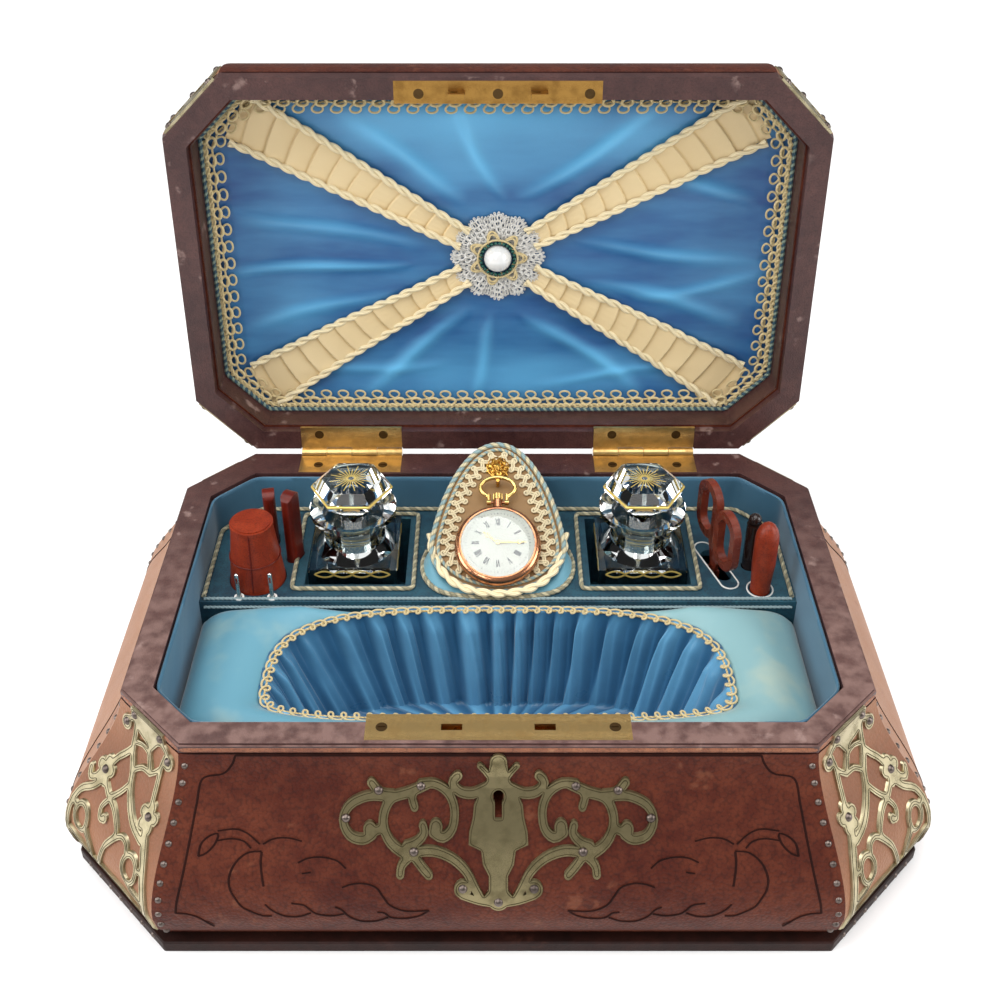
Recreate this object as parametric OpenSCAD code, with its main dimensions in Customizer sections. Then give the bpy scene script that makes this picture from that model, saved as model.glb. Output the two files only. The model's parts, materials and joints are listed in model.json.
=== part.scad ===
// A leather covered sewing box with bulging walls, a hinged lid with a silk lining,
// a fitted tray of scent bottles and sewing tools, and a stand for a pocket watch.
// Origin: centre of the plinth's underside. +X right, +Y back, +Z up. The lid is open.

/* [Box] */
// Width of the box across its rim
rim_w = 260; // [250:1:270]
// Depth of the box across its rim, front to back
rim_d = 164; // [160:1:170]
// Height of the rim above the table
rim_z = 78; // [76:1:82]
// Corner cut of the eight-sided rim
corner_cut = 24; // [22:1:26]
// How far the walls swell out past the rim
wall_swell = 26; // [20:1:28]
// Height of the widest point of the walls
bulge_z = 21; // [18:1:24]
// Height of the plinth
plinth_h = 5; // [4:0.5:6]
// How far the plinth stands out past the rim
plinth_out = 26; // [24:0.5:27]

/* [Lid] */
// Height of the lid, from its rim to its flat top
lid_h = 35; // [34:1:40]
// Width of the lid's rim
lid_rim_w = 8.8; // [8:0.2:9.6]
// Angle that the lid opens to
lid_open = 94; // [90:1:96]
// Gap between the two rims when the lid is closed
closed_gap = 0.3; // [0.2:0.1:0.6]
// Depth of the silk lining at its border
lining_depth = 17; // [16:0.5:18]
// Depth of the silk lining under the rosette
tuft_depth = 24; // [23:0.5:25]

/* [Inside] */
// Half width between the silk walls
inner_x = 119.5; // [118:0.5:120]
// Front silk wall, from the box's centre
inner_front = 72.6; // [72:0.2:73]
// Rear silk wall, from the box's centre
inner_back = 67.4; // [67:0.2:68]
// Corner cut of the silk walls
inner_cut = 15.5; // [15:0.5:17]
// Height of the tray's top
tray_z = 60; // [58:1:61]
// Front edge of the tray
tray_front = 6.5; // [6:0.5:7]
// Thickness of the tray's board
tray_t = 3; // [2.5:0.5:4]

/* [Bottles] */
// Distance of each bottle from the middle
bottle_x = 59.2; // [58:0.2:60]
// Place of the bottles from front to back
bottle_y = 38.5; // [38:0.5:39]
// Side of the square glass body
bottle_w = 36; // [34:1:37]
// Height of a bottle's underside
bottle_z = 24.4; // [24.3:0.1:26]
// Height of a bottle's shoulder
shoulder_z = 64.5; // [63:0.5:66]

/* [Watch] */
// Diameter of the watch case
watch_d = 35; // [33:0.5:36]
// Thickness of the watch case
watch_t = 8; // [7:0.5:9]
// Slope of the watch stand
stand_tilt = 26; // [24:1:26]

/* [Hidden] */
$fn = 48;
half_w = rim_w / 2;
half_d = rim_d / 2;
diag = (half_w + half_d - corner_cut) / sqrt(2);
corner_shift = (half_w - half_d) / sqrt(2);

// Walls: an ogee from the rim down to the bulge, tucked in again above the plinth
lip_out = 2;
wall_foot_z = 6.5;
foot_out = 22.5;
wall_steps = 15;
function wall_out(z) = z >= bulge_z
    ? lip_out + wall_swell * (1 - cos(180 * (rim_z - z) / (rim_z - bulge_z))) / 2
    : lip_out + wall_swell
        - (lip_out + wall_swell - foot_out) * pow((bulge_z - z) / (bulge_z - wall_foot_z), 2);
wall_heights = concat([wall_foot_z, (wall_foot_z + bulge_z) / 2],
    [for (i = [0 : wall_steps]) bulge_z + (rim_z - bulge_z) * i / wall_steps]);

// Lid walls: slightly bowed, then a rounded shoulder up to a flat top
lid_wall_h = 20;
lid_bow = 1.2;
shoulder_in = 26;
lid_steps = 6;
lid_profile = concat(
    [for (i = [0 : 3]) [lid_bow * sin(180 * i / 4), lid_wall_h * i / 4]],
    [for (i = [0 : lid_steps]) let (a = 90 * i / lid_steps)
        [-shoulder_in * (1 - cos(a)), lid_wall_h + (lid_h - lid_wall_h) * sin(a)]]);
lid_cavity_in = 9.6;
lid_cavity_h = 28;
lid_rim_h = 4;

// Hinges: a leaf each side, four knuckles in turn
hinge_y = half_d + 1.9;
hinge_z = rim_z + closed_gap / 2;
knuckle_r = 2.2;
pin_r = 1;
pin_fit = 0.05;
knuckle_room = 0.3;
hinge_x = 64;
hinge_w = 44;
knuckle_w = hinge_w / 4;
leaf_t = 1.2;
leaf_reach = 14.3;
lid_leaf_reach = 12.5;
hinge_screw_x = 14;
hinge_screw_y = 8.9;

// Lock: a plate let into the rim, a case behind the front wall, a sliding bolt
lock_plate_x = 45;
lock_plate_front = 81.8;
lock_plate_back = 70.2;
lock_screw_x = 39.5;
lock_y = -76;
hook_x = 15.8;
hook_w = 6.4;
hook_t = 2.2;
hook_drop = 6;
slot_w = 7.2;
slot_t = 2.8;
bolt_travel = 3.4;
case_x = 30;
case_front = 80.8;
case_back = 73.9;
case_foot = 50;
key_z = 60.3;

// Screws shared by the plates and the hinges
screw_head_r = 2;
screw_shank_r = 0.9;
screw_len = 7;
screw_head_h = 1.1;

// Wells and the front compartment
well_x = 58;
well_w = 41;
well_y = 38.5;
well_l = 43;
well_wall = 1.2;
well_floor = 24;
oval_x = 84.5;
oval_y = -41.5;
oval_back = 41.5;
oval_front = 13.5;
oval_top = 60;
oval_foot = 12;
silk_t = 2.4;
pleats = 30;
deck_z = 36;
deck_t = 2;

// Watch stand: a pear-shaped board lying back on a wedge
stand_y = 11.5;
stand_z = 62.5;
stand_w = 27;
stand_wide_at = 18;
stand_len = 65.9;
stand_low = 1.3;
stand_t = 3;
watch_s = 17;
watch_lift = 0.4;
watch_r = watch_d / 2;
bow_s = 43.3;
bow_w = 16.3;
bow_h = 11.4;
bow_wire = 0.9;
bow_pivot_s = 36.4;
bow_pin_r = 0.5;
bow_foot_x = 3.7;
crown_bore_r = 0.65;
post_s = 45.8;
post_h = 6.2;
hook_s = 54.4;

// Tools: place, top and foot of each
thimble_at = [-97.8, 21.7];
etui_rear_at = [-95, 46];
etui_front_at = [-84.2, 35];
needle_at = [105.7, 14.2];
stiletto_at = [103.7, 28.8];
bodkins_at = [[-103.5, 9.2], [-90.3, 9.2]];
scissors_at = [89.5, 31];
scissors_turn = 19;
pivot_z = 54;
loop_y = 10.5;
loop_z = 80;
etui_r = 2.5;
etui_len = 9;

// Paths and profiles
function at_curve(p, i, t) =
    let (a = p[max(i - 1, 0)], b = p[i], c = p[i + 1], d = p[min(i + 2, len(p) - 1)])
    0.5 * (2 * b + (c - a) * t + (2 * a - 5 * b + 4 * c - d) * t * t
        + (3 * b - a - 3 * c + d) * t * t * t);
function smooth(p, n = 3) = concat(
    [for (i = [0 : len(p) - 2]) for (k = [0 : n - 1]) at_curve(p, i, k / n)],
    [p[len(p) - 1]]);
function side_of(q, i) =
    let (d = q[min(i + 1, len(q) - 1)] - q[max(i - 1, 0)]) [-d[1], d[0]] / norm(d);

function octagon(w, front, back, c) = [
    [c - w, -front], [w - c, -front], [w, c - front], [w, back - c],
    [w - c, back], [c - w, back], [-w, back - c], [-w, c - front]];
function rim_octagon(out) = octagon(half_w + out, half_d + out, half_d + out,
    corner_cut + out * (2 - sqrt(2)));
function inner_octagon(out) = octagon(inner_x + out, inner_front + out, inner_back + out,
    inner_cut + out * (2 - sqrt(2)));

// A band of metal of width w along a smooth path, with round ends
module band(path, w) {
    q = smooth(path);
    n = len(q) - 1;
    polygon(concat([for (i = [0 : n]) q[i] + side_of(q, i) * w / 2],
        [for (i = [n : -1 : 0]) q[i] - side_of(q, i) * w / 2]));
    for (end = [q[0], q[n]])
        translate(end) circle(d = w, $fn = 14);
}

module ring_band(at, rx, ry, w) {
    count = 16;
    translate(at) difference() {
        polygon([for (i = [0 : count - 1])
            [(rx + w / 2) * cos(360 * i / count), (ry + w / 2) * sin(360 * i / count)]]);
        polygon([for (i = [0 : count - 1])
            [(rx - w / 2) * cos(360 * i / count), (ry - w / 2) * sin(360 * i / count)]]);
    }
}

module flower(at) {
    for (i = [0 : 4])
        translate(at + 3.1 * [cos(72 * i + 18), sin(72 * i + 18)]) circle(r = 1.9, $fn = 14);
    translate(at) circle(r = 3, $fn = 16);
}

// A wall's profile as a slab that runs along X, its two faces out from the middle plane
module wall_slab(half, extra, run) {
    side = [for (z = wall_heights) [half + wall_out(z) + extra, z]];
    n = len(side) - 1;
    rotate([90, 0, 90]) linear_extrude(run, center = true)
        polygon(concat(side, [for (i = [n : -1 : 0]) [-side[i][0], side[i][1]]]));
}

module lid_slab(half, extra, run) {
    n = len(lid_profile) - 1;
    side = [for (p = lid_profile) [half + p[0] + extra, p[1]]];
    rotate([90, 0, 90]) linear_extrude(run, center = true)
        polygon(concat(side, [for (i = [n : -1 : 0]) [-side[i][0], side[i][1]]]));
}

// Eight walls: four slabs crossed
module crossed(extra = 0, lid = false) {
    run = 2 * rim_w;
    intersection() {
        if (lid) lid_slab(half_d, extra, run); else wall_slab(half_d, extra, run);
        rotate(90)
            if (lid) lid_slab(half_w, extra, run); else wall_slab(half_w, extra, run);
        for_corner(45, extra, lid, run);
        for_corner(-45, extra, lid, run);
    }
}

module for_corner(turn, extra, lid, run) {
    rotate(turn)
        if (lid) lid_slab(diag, extra, run); else wall_slab(diag, extra, run);
}

// A flat pattern, drawn across and up, laid on the wall that faces the front
module on_wall(half, thickness, lid = false) {
    run = 2 * rim_w;
    intersection() {
        rotate([90, 0, 0]) linear_extrude(2 * half) children();
        difference() {
            if (lid) lid_slab(half, thickness, run); else wall_slab(half, thickness, run);
            if (lid) lid_slab(half, 0, run); else wall_slab(half, 0, run);
        }
    }
}

// The same pattern on the two corners at the front or at the back, as mirror images
module on_corners(back, thickness, lid = false) {
    for (side = [-1, 1])
        rotate(side * (back ? 135 : 45))
            on_wall(diag, thickness, lid)
                translate([side * corner_shift * (back ? -1 : 1), 0])
                    mirror([side * (back ? -1 : 1) > 0 ? 1 : 0, 0])
                        children();
}

module at_corner(side, back, u, z, half, out) {
    rotate(side * (back ? 135 : 45))
        translate([side * (back ? -1 : 1) * (corner_shift - u), -(half + out), z])
            children();
}

// Body

module base_plinth() {
    color("#3a1d16") {
        linear_extrude(plinth_h) polygon(rim_octagon(plinth_out));
        translate([0, 0, plinth_h])
            linear_extrude(wall_foot_z - plinth_h) polygon(rim_octagon(foot_out - 3));
    }
}

rim_t = 4;
floor_z = 9;
lining_t = 1.2;

module hinge_cut() {
    for (side = [-1, 1])
        translate([side * hinge_x, hinge_y, hinge_z])
            rotate([0, 90, 0])
                cylinder(r = knuckle_r + knuckle_room, h = hinge_w + 2 * knuckle_room,
                    center = true);
}

module keyhole_shape(grow = 0) {
    translate([0, key_z]) circle(r = 2 + grow, $fn = 24);
    translate([-1.2 - grow, key_z - 6.4 - grow]) square([2.4 + 2 * grow, 6.4]);
}

module lock_room() {
    translate([-case_x, -case_front, case_foot])
        cube([2 * case_x, case_front - case_back, rim_z - leaf_t - case_foot]);
}

module body_carcass() {
    color("#6f2f1f") difference() {
        crossed();
        translate([0, 0, floor_z]) linear_extrude(rim_z) polygon(inner_octagon(lining_t));
        translate([0, 0, rim_z - rim_t]) linear_extrude(rim_z) square(2 * rim_w, center = true);
        hinge_cut();
        lock_room();
        rotate([90, 0, 0]) linear_extrude(2 * half_d) keyhole_shape(0.4);
        body_screw_shapes();
    }
}

module plate_recess() {
    translate([-lock_plate_x, -lock_plate_front, rim_z - leaf_t])
        cube([2 * lock_plate_x, lock_plate_front - lock_plate_back, 2 * leaf_t]);
}

module leaf_recess() {
    for (side = [-1, 1])
        translate([side * hinge_x - hinge_w / 2, hinge_y - leaf_reach, rim_z - leaf_t])
            cube([hinge_w, leaf_reach, 2 * leaf_t]);
}

module body_rim() {
    edge = 0.8;
    color("#4a2226") difference() {
        union() {
            translate([0, 0, rim_z - rim_t])
                linear_extrude(rim_t - edge) polygon(rim_octagon(lip_out));
            translate([0, 0, rim_z - edge])
                linear_extrude(edge) polygon(rim_octagon(lip_out - edge));
        }
        translate([0, 0, rim_z - 2 * rim_t])
            linear_extrude(3 * rim_t) polygon(inner_octagon(lining_t));
        plate_recess();
        leaf_recess();
        hinge_cut();
        lock_room();
        body_screw_shapes();
    }
}

module lining_walls() {
    color("#2b6f9e") difference() {
        translate([0, 0, floor_z + 2]) linear_extrude(rim_z - leaf_t - floor_z - 2)
            difference() {
                polygon(inner_octagon(lining_t));
                polygon(inner_octagon(0));
            }
        leaf_recess();
    }
}

module floor_pad() {
    color("#2b6f9e") translate([0, 0, floor_z]) linear_extrude(2) polygon(inner_octagon(lining_t));
}

// Pierced corner mount, drawn flat: across the corner and up
module mount_pattern() {
    polygon([[-9.5, rim_z - 1.3], [9.8, rim_z - 1.3], [11.2, 73], [7.2, 70.6], [4.4, 66.8],
        [0.6, 68.2], [-3.6, 69.2], [-6.6, 70.6], [-9.4, 72.6]]);
    translate([-11.6, 69]) circle(r = 2.7, $fn = 16);
    translate([13.8, 68.4]) circle(r = 2.9, $fn = 16);
    band([[-6.5, 74], [-5.8, 69], [-5, 62.5], [-1.6, 57], [0.2, 53], [3.4, 49], [8.6, 45],
        [15, 43]], 2.5);
    band([[2.6, 70], [3.9, 65], [7, 60.6]], 2.1);
    band([[-5, 65], [-0.6, 66.4], [3.2, 65.8]], 1.6);
    band([[-1.2, 57.4], [2.6, 60.2], [7.4, 60.8], [11, 64.4]], 1.8);
    band([[9, 73], [12.2, 71.4], [13.8, 68.4]], 2.4);
    band([[-9, 72], [-11.4, 70.6], [-11.6, 69]], 2.4);
    band([[12, 68.4], [11.2, 64.5], [12.4, 57], [13.8, 52]], 2.1);
    band([[-5, 63], [-7.8, 59.6], [-10.4, 57], [-13, 53]], 2.5);
    band([[-15.5, 48.5], [-19.6, 45.8], [-21.2, 48.4]], 2.3);
    band([[0, 53.6], [-3.2, 49], [-7, 45.8], [-10, 47.2], [-13, 49]], 2);
    band([[-13, 48.6], [-16.4, 44.4], [-21.8, 40.6], [-24.4, 35], [-25.6, 28], [-25.8, 12]], 2.5);
    band([[14, 48], [17.6, 42], [20.6, 36.4], [23.4, 28], [24.6, 20], [25, 12]], 3.1);
    band([[-7, 45.4], [-3.6, 44.4], [-0.4, 42.2], [2.6, 38.4], [-0.8, 33], [-2.4, 28.6],
        [-4.6, 21.6]], 1.9);
    band([[-6.6, 45], [-8.8, 41.4], [-7.6, 38], [-5.4, 38.6]], 1.9);
    band([[-1.6, 31], [1.8, 35.6], [5.6, 39.2], [9.2, 38.6], [10.8, 35.6]], 1.9);
    translate([-5.6, 39]) circle(r = 1.6, $fn = 14);
    ring_band([-17.6, 32.4], 3.9, 4.9, 2);
    ring_band([13.8, 32.4], 4, 4.9, 2);
    band([[-21.2, 34.4], [-24.6, 36]], 2);
    band([[17.4, 34.4], [21, 35]], 2);
    band([[-14, 30], [-10.6, 25], [-9.4, 21.4]], 2.4);
    band([[12.4, 28], [16.8, 25.6], [22, 24.6]], 2);
    band([[-25.4, 23.4], [-17, 21.4], [-8, 20.4], [2, 20.4], [12, 20.2], [24.6, 18.6]], 2.6);
    flower([-14, 50.7]);
    flower([14, 49.9]);
}

mount_t = 1;
mount_studs = [[-7.2, 74.2], [8.3, 74.2], [-11.6, 69], [13.8, 68.4], [-14, 50.7], [14, 49.9]];

module front_corner_mounts() {
    color("#b9b184") on_corners(false, mount_t) mount_pattern();
}

module rear_corner_mounts() {
    color("#b9b184") on_corners(true, mount_t) mount_pattern();
}

// Pierced lock escutcheon, one half, drawn flat: across the front and up
module escutcheon_half() {
    polygon([[0, 71], [3, 70.4], [3.4, 66], [5.6, 62.6], [8.2, 58], [8.6, 54.4], [9.8, 50.4],
        [10, 47], [5.8, 45.4], [5.2, 41.6], [3.2, 38.2], [3.2, 33.6], [4.8, 31.6], [3, 28],
        [0, 26.8]]);
    translate([0, 71.6]) circle(r = 2.9, $fn = 20);
    band([[2.4, 65.4], [4.2, 68], [6.2, 70.2]], 1.9);
    band([[4, 63], [8.6, 61.2], [13, 61.8], [15.4, 64.6], [13.6, 66.8]], 3);
    band([[26, 64], [21.4, 64.2], [17, 61.6], [14.8, 57], [15.4, 51.6], [18.6, 49], [22, 50.4]],
        2.9);
    translate([21, 51.8]) circle(r = 2.2, $fn = 16);
    band([[24, 64], [30, 61.6], [35.6, 60], [38.2, 56.4], [38.6, 52], [36.2, 47.6],
        [31.4, 44.6], [28.4, 44.8]], 3.1);
    band([[28, 62.5], [29, 60], [28.2, 57.4]], 2.7);
    band([[31, 46.6], [27.6, 47.6], [25, 50], [25.4, 52.2]], 2.7);
    band([[35.4, 60.8], [39.6, 61.4], [42.6, 64.6]], 2.9);
    band([[38.4, 60.4], [44, 60.4], [49.8, 58], [52.2, 53.8], [50, 49.6], [45.4, 48.4],
        [42.2, 49.8]], 2.8);
    translate([43.2, 51.2]) circle(r = 2.2, $fn = 16);
    band([[39.4, 51.4], [41.6, 50.6]], 2.6);
    band([[28.4, 44.8], [22, 45.2], [15.6, 43.2], [10.8, 39.4], [8, 34.6], [6, 31]], 2.7);
    band([[8.2, 35.2], [12, 34]], 2.4);
    band([[12, 32], [7, 30.2], [2, 29.2]], 2.7);
    band([[28.6, 44], [25.8, 40.8], [23.4, 38.4]], 2.7);
    band([[29.4, 44], [32.4, 41.4], [33, 38.6]], 2.7);
    translate([12, 34]) circle(r = 2.9, $fn = 18);
    translate([0, 29.6]) circle(r = 3.2, $fn = 18);
}

escutcheon_studs = [[26, 63.2], [40.2, 61.9], [51.2, 54], [28.4, 44.8], [12, 34]];
escutcheon_drop_z = 29.4;

module escutcheon() {
    color("#b9b184") difference() {
        for (side = [0, 1]) mirror([side, 0, 0]) on_wall(half_d, mount_t) escutcheon_half();
        rotate([90, 0, 0]) linear_extrude(2 * half_d) keyhole_shape();
    }
}

// Domed nails: rows beside the corner edges, on the plinth, and on the metal mounts
stud_r = 1.7;
stud_sink = 0.7;
nail_r = 1.3;
nail_pitch = 5.7;
nail_inset = 2.2;
nails_in_row = 11;
nail_first = 8.8;

module nail(r, sink) {
    translate([0, sink, 0]) sphere(r = r, $fn = 20);
}

module dome_studs() {
    color("#5b5650") {
        difference() {
            union() {
                for (back = [false, true]) for (side = [-1, 1])
                    for (s = mount_studs)
                        at_corner(side, back, s[0], s[1], diag, wall_out(s[1]) + mount_t)
                            nail(stud_r, stud_sink);
                for (side = [-1, 1]) for (s = escutcheon_studs)
                    translate([side * s[0], -half_d - wall_out(s[1]) - mount_t, s[1]])
                        nail(stud_r, stud_sink);
                translate([0, -half_d - wall_out(escutcheon_drop_z) - mount_t,
                    escutcheon_drop_z]) nail(stud_r, stud_sink);
            }
            crossed(mount_t);
        }
        difference() {
            for (z = [for (i = [0 : nails_in_row - 1]) rim_z - nail_first - nail_pitch * i])
                let (out = wall_out(z))
                    for (turn = [0, 180]) for (side = [-1, 1]) {
                        rotate(turn) translate([side * (half_w + out - nail_inset
                            - cut_at(out)), -half_d - out, z])
                                nail(nail_r, nail_r / 2);
                        rotate(turn) translate([side * (half_w + out), -half_d - out
                            + cut_at(out) + nail_inset, z])
                                rotate(90 * side) nail(nail_r, nail_r / 2);
                    }
            crossed();
        }
        plinth_nails();
    }
}

function cut_at(out) = corner_cut + out * (2 - sqrt(2));
function corner_half(out) = cut_at(out) / sqrt(2);

module plinth_nails() {
    count = 7;
    step = 2 * corner_half(plinth_out) / (count + 1);
    difference() {
        for (back = [false, true]) for (side = [-1, 1]) for (i = [1 : count])
            at_corner(side, back, (i - (count + 1) / 2) * step, plinth_h / 2, diag, plinth_out)
                nail(nail_r, nail_r / 2);
        linear_extrude(plinth_h) polygon(rim_octagon(plinth_out));
    }
}

// Lock

module lock_case() {
    room_x = 28;
    color("#8c7a4a") difference() {
        lock_room();
        translate([-room_x, lock_y - 1.8, 67.4]) cube([2 * room_x, 3.6, rim_z]);
        rotate([90, 0, 0]) translate([0, 0, case_back + 2])
            linear_extrude(2 * half_d) keyhole_shape();
    }
    color("#8c7a4a") translate([0, -case_front + 0.6, key_z]) rotate([-90, 0, 0])
        cylinder(r = 0.8, h = case_front - case_back - 2);
}

module lock_plate() {
    color("#c9a24a") difference() {
        translate([-lock_plate_x, -lock_plate_front, rim_z - leaf_t])
            cube([2 * lock_plate_x, lock_plate_front - lock_plate_back, leaf_t]);
        for (side = [-1, 1])
            translate([side * hook_x - slot_w / 2, lock_y - slot_t / 2, rim_z - 2 * leaf_t])
                cube([slot_w, slot_t, 4 * leaf_t]);
        body_screw_shapes();
    }
}

// The bolt's fingers slide into the notches of the striker's hooks
module lock_bolt() {
    bar_z = 68;
    finger_z = 74.6;
    finger_h = 1.7;
    post_w = 2.6;
    bolt_t = 2.4;
    color("#b0894a") translate([0, lock_y - bolt_t / 2, 0]) {
        translate([-hook_x - hook_w / 2 - 4.2 - post_w, 0, bar_z])
            cube([2 * hook_x + post_w + 1, bolt_t, 2.6]);
        for (side = [-1, 1]) {
            left = side * hook_x - hook_w / 2 - 4.2;
            translate([left - post_w, 0, bar_z])
                cube([post_w, bolt_t, finger_z + finger_h - bar_z]);
            translate([left - post_w, 0, finger_z]) cube([post_w + 3.8, bolt_t, finger_h]);
        }
    }
}

module screw_shape(len = screw_len) {
    translate([0, 0, -screw_head_h])
        cylinder(r1 = screw_shank_r, r2 = screw_head_r, h = screw_head_h);
    translate([0, 0, -len]) cylinder(r = screw_shank_r, h = len - screw_head_h);
}

module body_screw_shapes() {
    for (side = [-1, 1]) {
        translate([side * lock_screw_x, lock_y, rim_z]) screw_shape();
        for (end = [-1, 1])
            translate([side * hinge_x + end * hinge_screw_x, hinge_y - hinge_screw_y, rim_z])
                screw_shape();
    }
}

module screw_slots(list, z) {
    for (p = list) translate([p[0], p[1], z]) cube([2.6, 0.5, 0.6], center = true);
}

module body_screws() {
    color("#9c7c3c") difference() {
        body_screw_shapes();
        screw_slots([for (side = [-1, 1]) [side * lock_screw_x, lock_y]], rim_z);
        screw_slots([for (side = [-1, 1]) for (end = [-1, 1])
            [side * hinge_x + end * hinge_screw_x, hinge_y - hinge_screw_y]], rim_z);
    }
}

// Hinges: the lower leaf has the second and fourth knuckle, the upper leaf the others

module knuckles(first) {
    for (i = [first, first + 2])
        translate([-hinge_w / 2 + knuckle_w * i + 0.1, 0, 0]) rotate([0, 90, 0])
            cylinder(r = knuckle_r, h = knuckle_w - 0.2);
}

module leaf(first, reach, sign, bore) {
    difference() {
        union() {
            knuckles(first);
            for (i = [first, first + 2])
                translate([-hinge_w / 2 + knuckle_w * i + 0.1, -knuckle_r - 1,
                    sign > 0 ? closed_gap / 2 : -closed_gap / 2 - leaf_t])
                    cube([knuckle_w - 0.2, knuckle_r + 1, leaf_t]);
            translate([-hinge_w / 2, -reach, sign > 0 ? closed_gap / 2
                : -closed_gap / 2 - leaf_t])
                cube([hinge_w, reach - knuckle_r - knuckle_room, leaf_t]);
        }
        rotate([0, 90, 0]) cylinder(r = bore, h = 2 * hinge_w, center = true);
    }
}

module lower_leaf(side) {
    color("#c9a24a") difference() {
        translate([side * hinge_x, hinge_y, hinge_z]) leaf(1, leaf_reach, -1, pin_r);
        body_screw_shapes();
    }
}

module left_hinge_lower_leaf() { lower_leaf(-1); }
module right_hinge_lower_leaf() { lower_leaf(1); }

module hinge_pins() {
    color("#a8843c") for (side = [-1, 1])
        translate([side * hinge_x, hinge_y, hinge_z]) rotate([0, 90, 0])
            cylinder(r = pin_r, h = hinge_w, center = true);
}

// Tray

module tray_outline() {
    intersection() {
        polygon(inner_octagon(0));
        translate([-half_w, tray_front]) square([rim_w, half_d]);
    }
}

module well_holes(grow) {
    for (side = [-1, 1])
        translate([side * well_x, well_y]) square([well_w + 2 * grow, well_l + 2 * grow],
            center = true);
}

module stadium(len, r) {
    for (end = [-1, 1]) translate([0, end * (len / 2 - r)]) circle(r = r);
    square([2 * r, len - 2 * r], center = true);
}

socket_fit = 0.3;
needle_r = 4;
stiletto_r = 3.1;
bodkin_r = 0.9;
thimble_r = 11.25;

module tool_holes() {
    translate(thimble_at) circle(r = thimble_r + socket_fit);
    translate(etui_rear_at) rotate(10) stadium(etui_len + 2 * socket_fit, etui_r + socket_fit);
    translate(etui_front_at) rotate(-24) stadium(etui_len + 2 * socket_fit, etui_r + socket_fit);
    translate(needle_at) circle(r = needle_r + socket_fit);
    translate(stiletto_at) circle(r = stiletto_r + socket_fit);
    for (p = bodkins_at) translate(p) circle(r = bodkin_r + socket_fit);
}

module scissors_slot() {
    translate(scissors_at) rotate(scissors_turn) translate([0, -2]) stadium(20, 3.4);
}

module tray_board() {
    flap_foot = 40;
    flap_t = 0.6;
    color("#1f5c74") {
        translate([0, 0, tray_z - tray_t]) linear_extrude(tray_t) difference() {
            tray_outline();
            well_holes(0);
            tool_holes();
            scissors_slot();
        }
        translate([-inner_x, tray_front, flap_foot])
            cube([2 * inner_x, flap_t, tray_z - tray_t - flap_foot]);
    }
}

socket_wall = 0.6;
socket_floor = 1;
socket_top = tray_z - tray_t;
thimble_foot = 52;
etui_foot = 38;
needle_foot = 36;
stiletto_foot = 40;
bodkin_foot = 38;

module round_socket(at, r, foot) {
    translate([at[0], at[1], foot - socket_floor - 0.2]) difference() {
        cylinder(r = r + socket_fit + socket_wall, h = socket_top - foot + socket_floor + 0.2);
        translate([0, 0, socket_floor]) cylinder(r = r + socket_fit, h = socket_top);
    }
}

module flat_socket(at, turn, foot) {
    grow = 2 * (socket_fit + socket_wall);
    translate([at[0], at[1], foot - socket_floor - 0.2]) rotate(turn) difference() {
        linear_extrude(socket_top - foot + socket_floor + 0.2)
            stadium(etui_len + grow, etui_r + grow / 2);
        translate([0, 0, socket_floor]) linear_extrude(socket_top)
            stadium(etui_len + 2 * socket_fit, etui_r + socket_fit);
    }
}

module tool_sockets() {
    color("#24465a") {
        round_socket(thimble_at, thimble_r, thimble_foot);
        flat_socket(etui_rear_at, 10, etui_foot);
        flat_socket(etui_front_at, -24, etui_foot);
        round_socket(needle_at, needle_r, needle_foot);
        round_socket(stiletto_at, stiletto_r, stiletto_foot);
        for (p = bodkins_at) round_socket(p, bodkin_r, bodkin_foot);
    }
}

module bottle_wells() {
    color("#1f5c74") difference() {
        translate([0, 0, well_floor - well_wall])
            linear_extrude(socket_top - well_floor + well_wall) well_holes(well_wall);
        translate([0, 0, well_floor]) linear_extrude(rim_z) well_holes(0);
    }
}

// Front compartment: an oval well with pleated silk walls between two pincushions

function power_arc(a, rx, ry, n) = [rx * sign(cos(a)) * pow(abs(cos(a)), 2 / n),
    ry * sign(sin(a)) * pow(abs(sin(a)), 2 / n)];
function oval(a, out) = [0, oval_y] + (sin(a) >= 0
    ? power_arc(a, oval_x + out, oval_back + out, 3.3)
    : power_arc(a, oval_x + out, oval_front + out, 4));

module front_deck() {
    color("#8a7350") translate([0, 0, deck_z]) linear_extrude(deck_t) difference() {
        intersection() {
            polygon(inner_octagon(0));
            translate([-half_w, -half_d]) square([rim_w, half_d + tray_front]);
        }
        polygon([for (a = [0 : 6 : 354]) oval(a, silk_t + 1.4)]);
    }
}

// Rings of points stacked into a closed skin: inner wall down, outer wall up
function skin_faces(rings, n) = [for (r = [0 : rings - 1]) for (i = [0 : n - 1])
    let (a = r * n + i, b = r * n + (i + 1) % n, c = ((r + 1) % rings) * n + i,
        d = ((r + 1) % rings) * n + (i + 1) % n)
    for (f = [[a, b, d], [a, d, c]]) f];

module well_silk() {
    steps = pleats * 4;
    fold = 0.7;
    heights = [oval_foot, 30, 50, oval_top];
    function pleat(i, z) = fold * cos(90 * i) * (0.4 + 0.6 * (oval_top - z)
        / (oval_top - oval_foot)) + (z < 20 ? 0.6 : 0);
    inner = [for (z = heights) [for (i = [0 : steps - 1])
        let (p = oval(360 * i / steps, silk_t - 1.8 - pleat(i, z))) [p[0], p[1], z]]];
    outer = [for (k = [3, 2, 1, 0]) [for (i = [0 : steps - 1])
        let (p = oval(360 * i / steps, silk_t - 0.3)) [p[0], p[1], heights[k]]]];
    rings = concat(inner, outer);
    points = [for (ring = rings) for (p = ring) p];
    color("#3f7fc0") polyhedron(points, skin_faces(len(rings), steps));
}

// Half of the space round the well, filled by a cushion with a crowned top
cushion_gap = 0.7;

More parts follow.
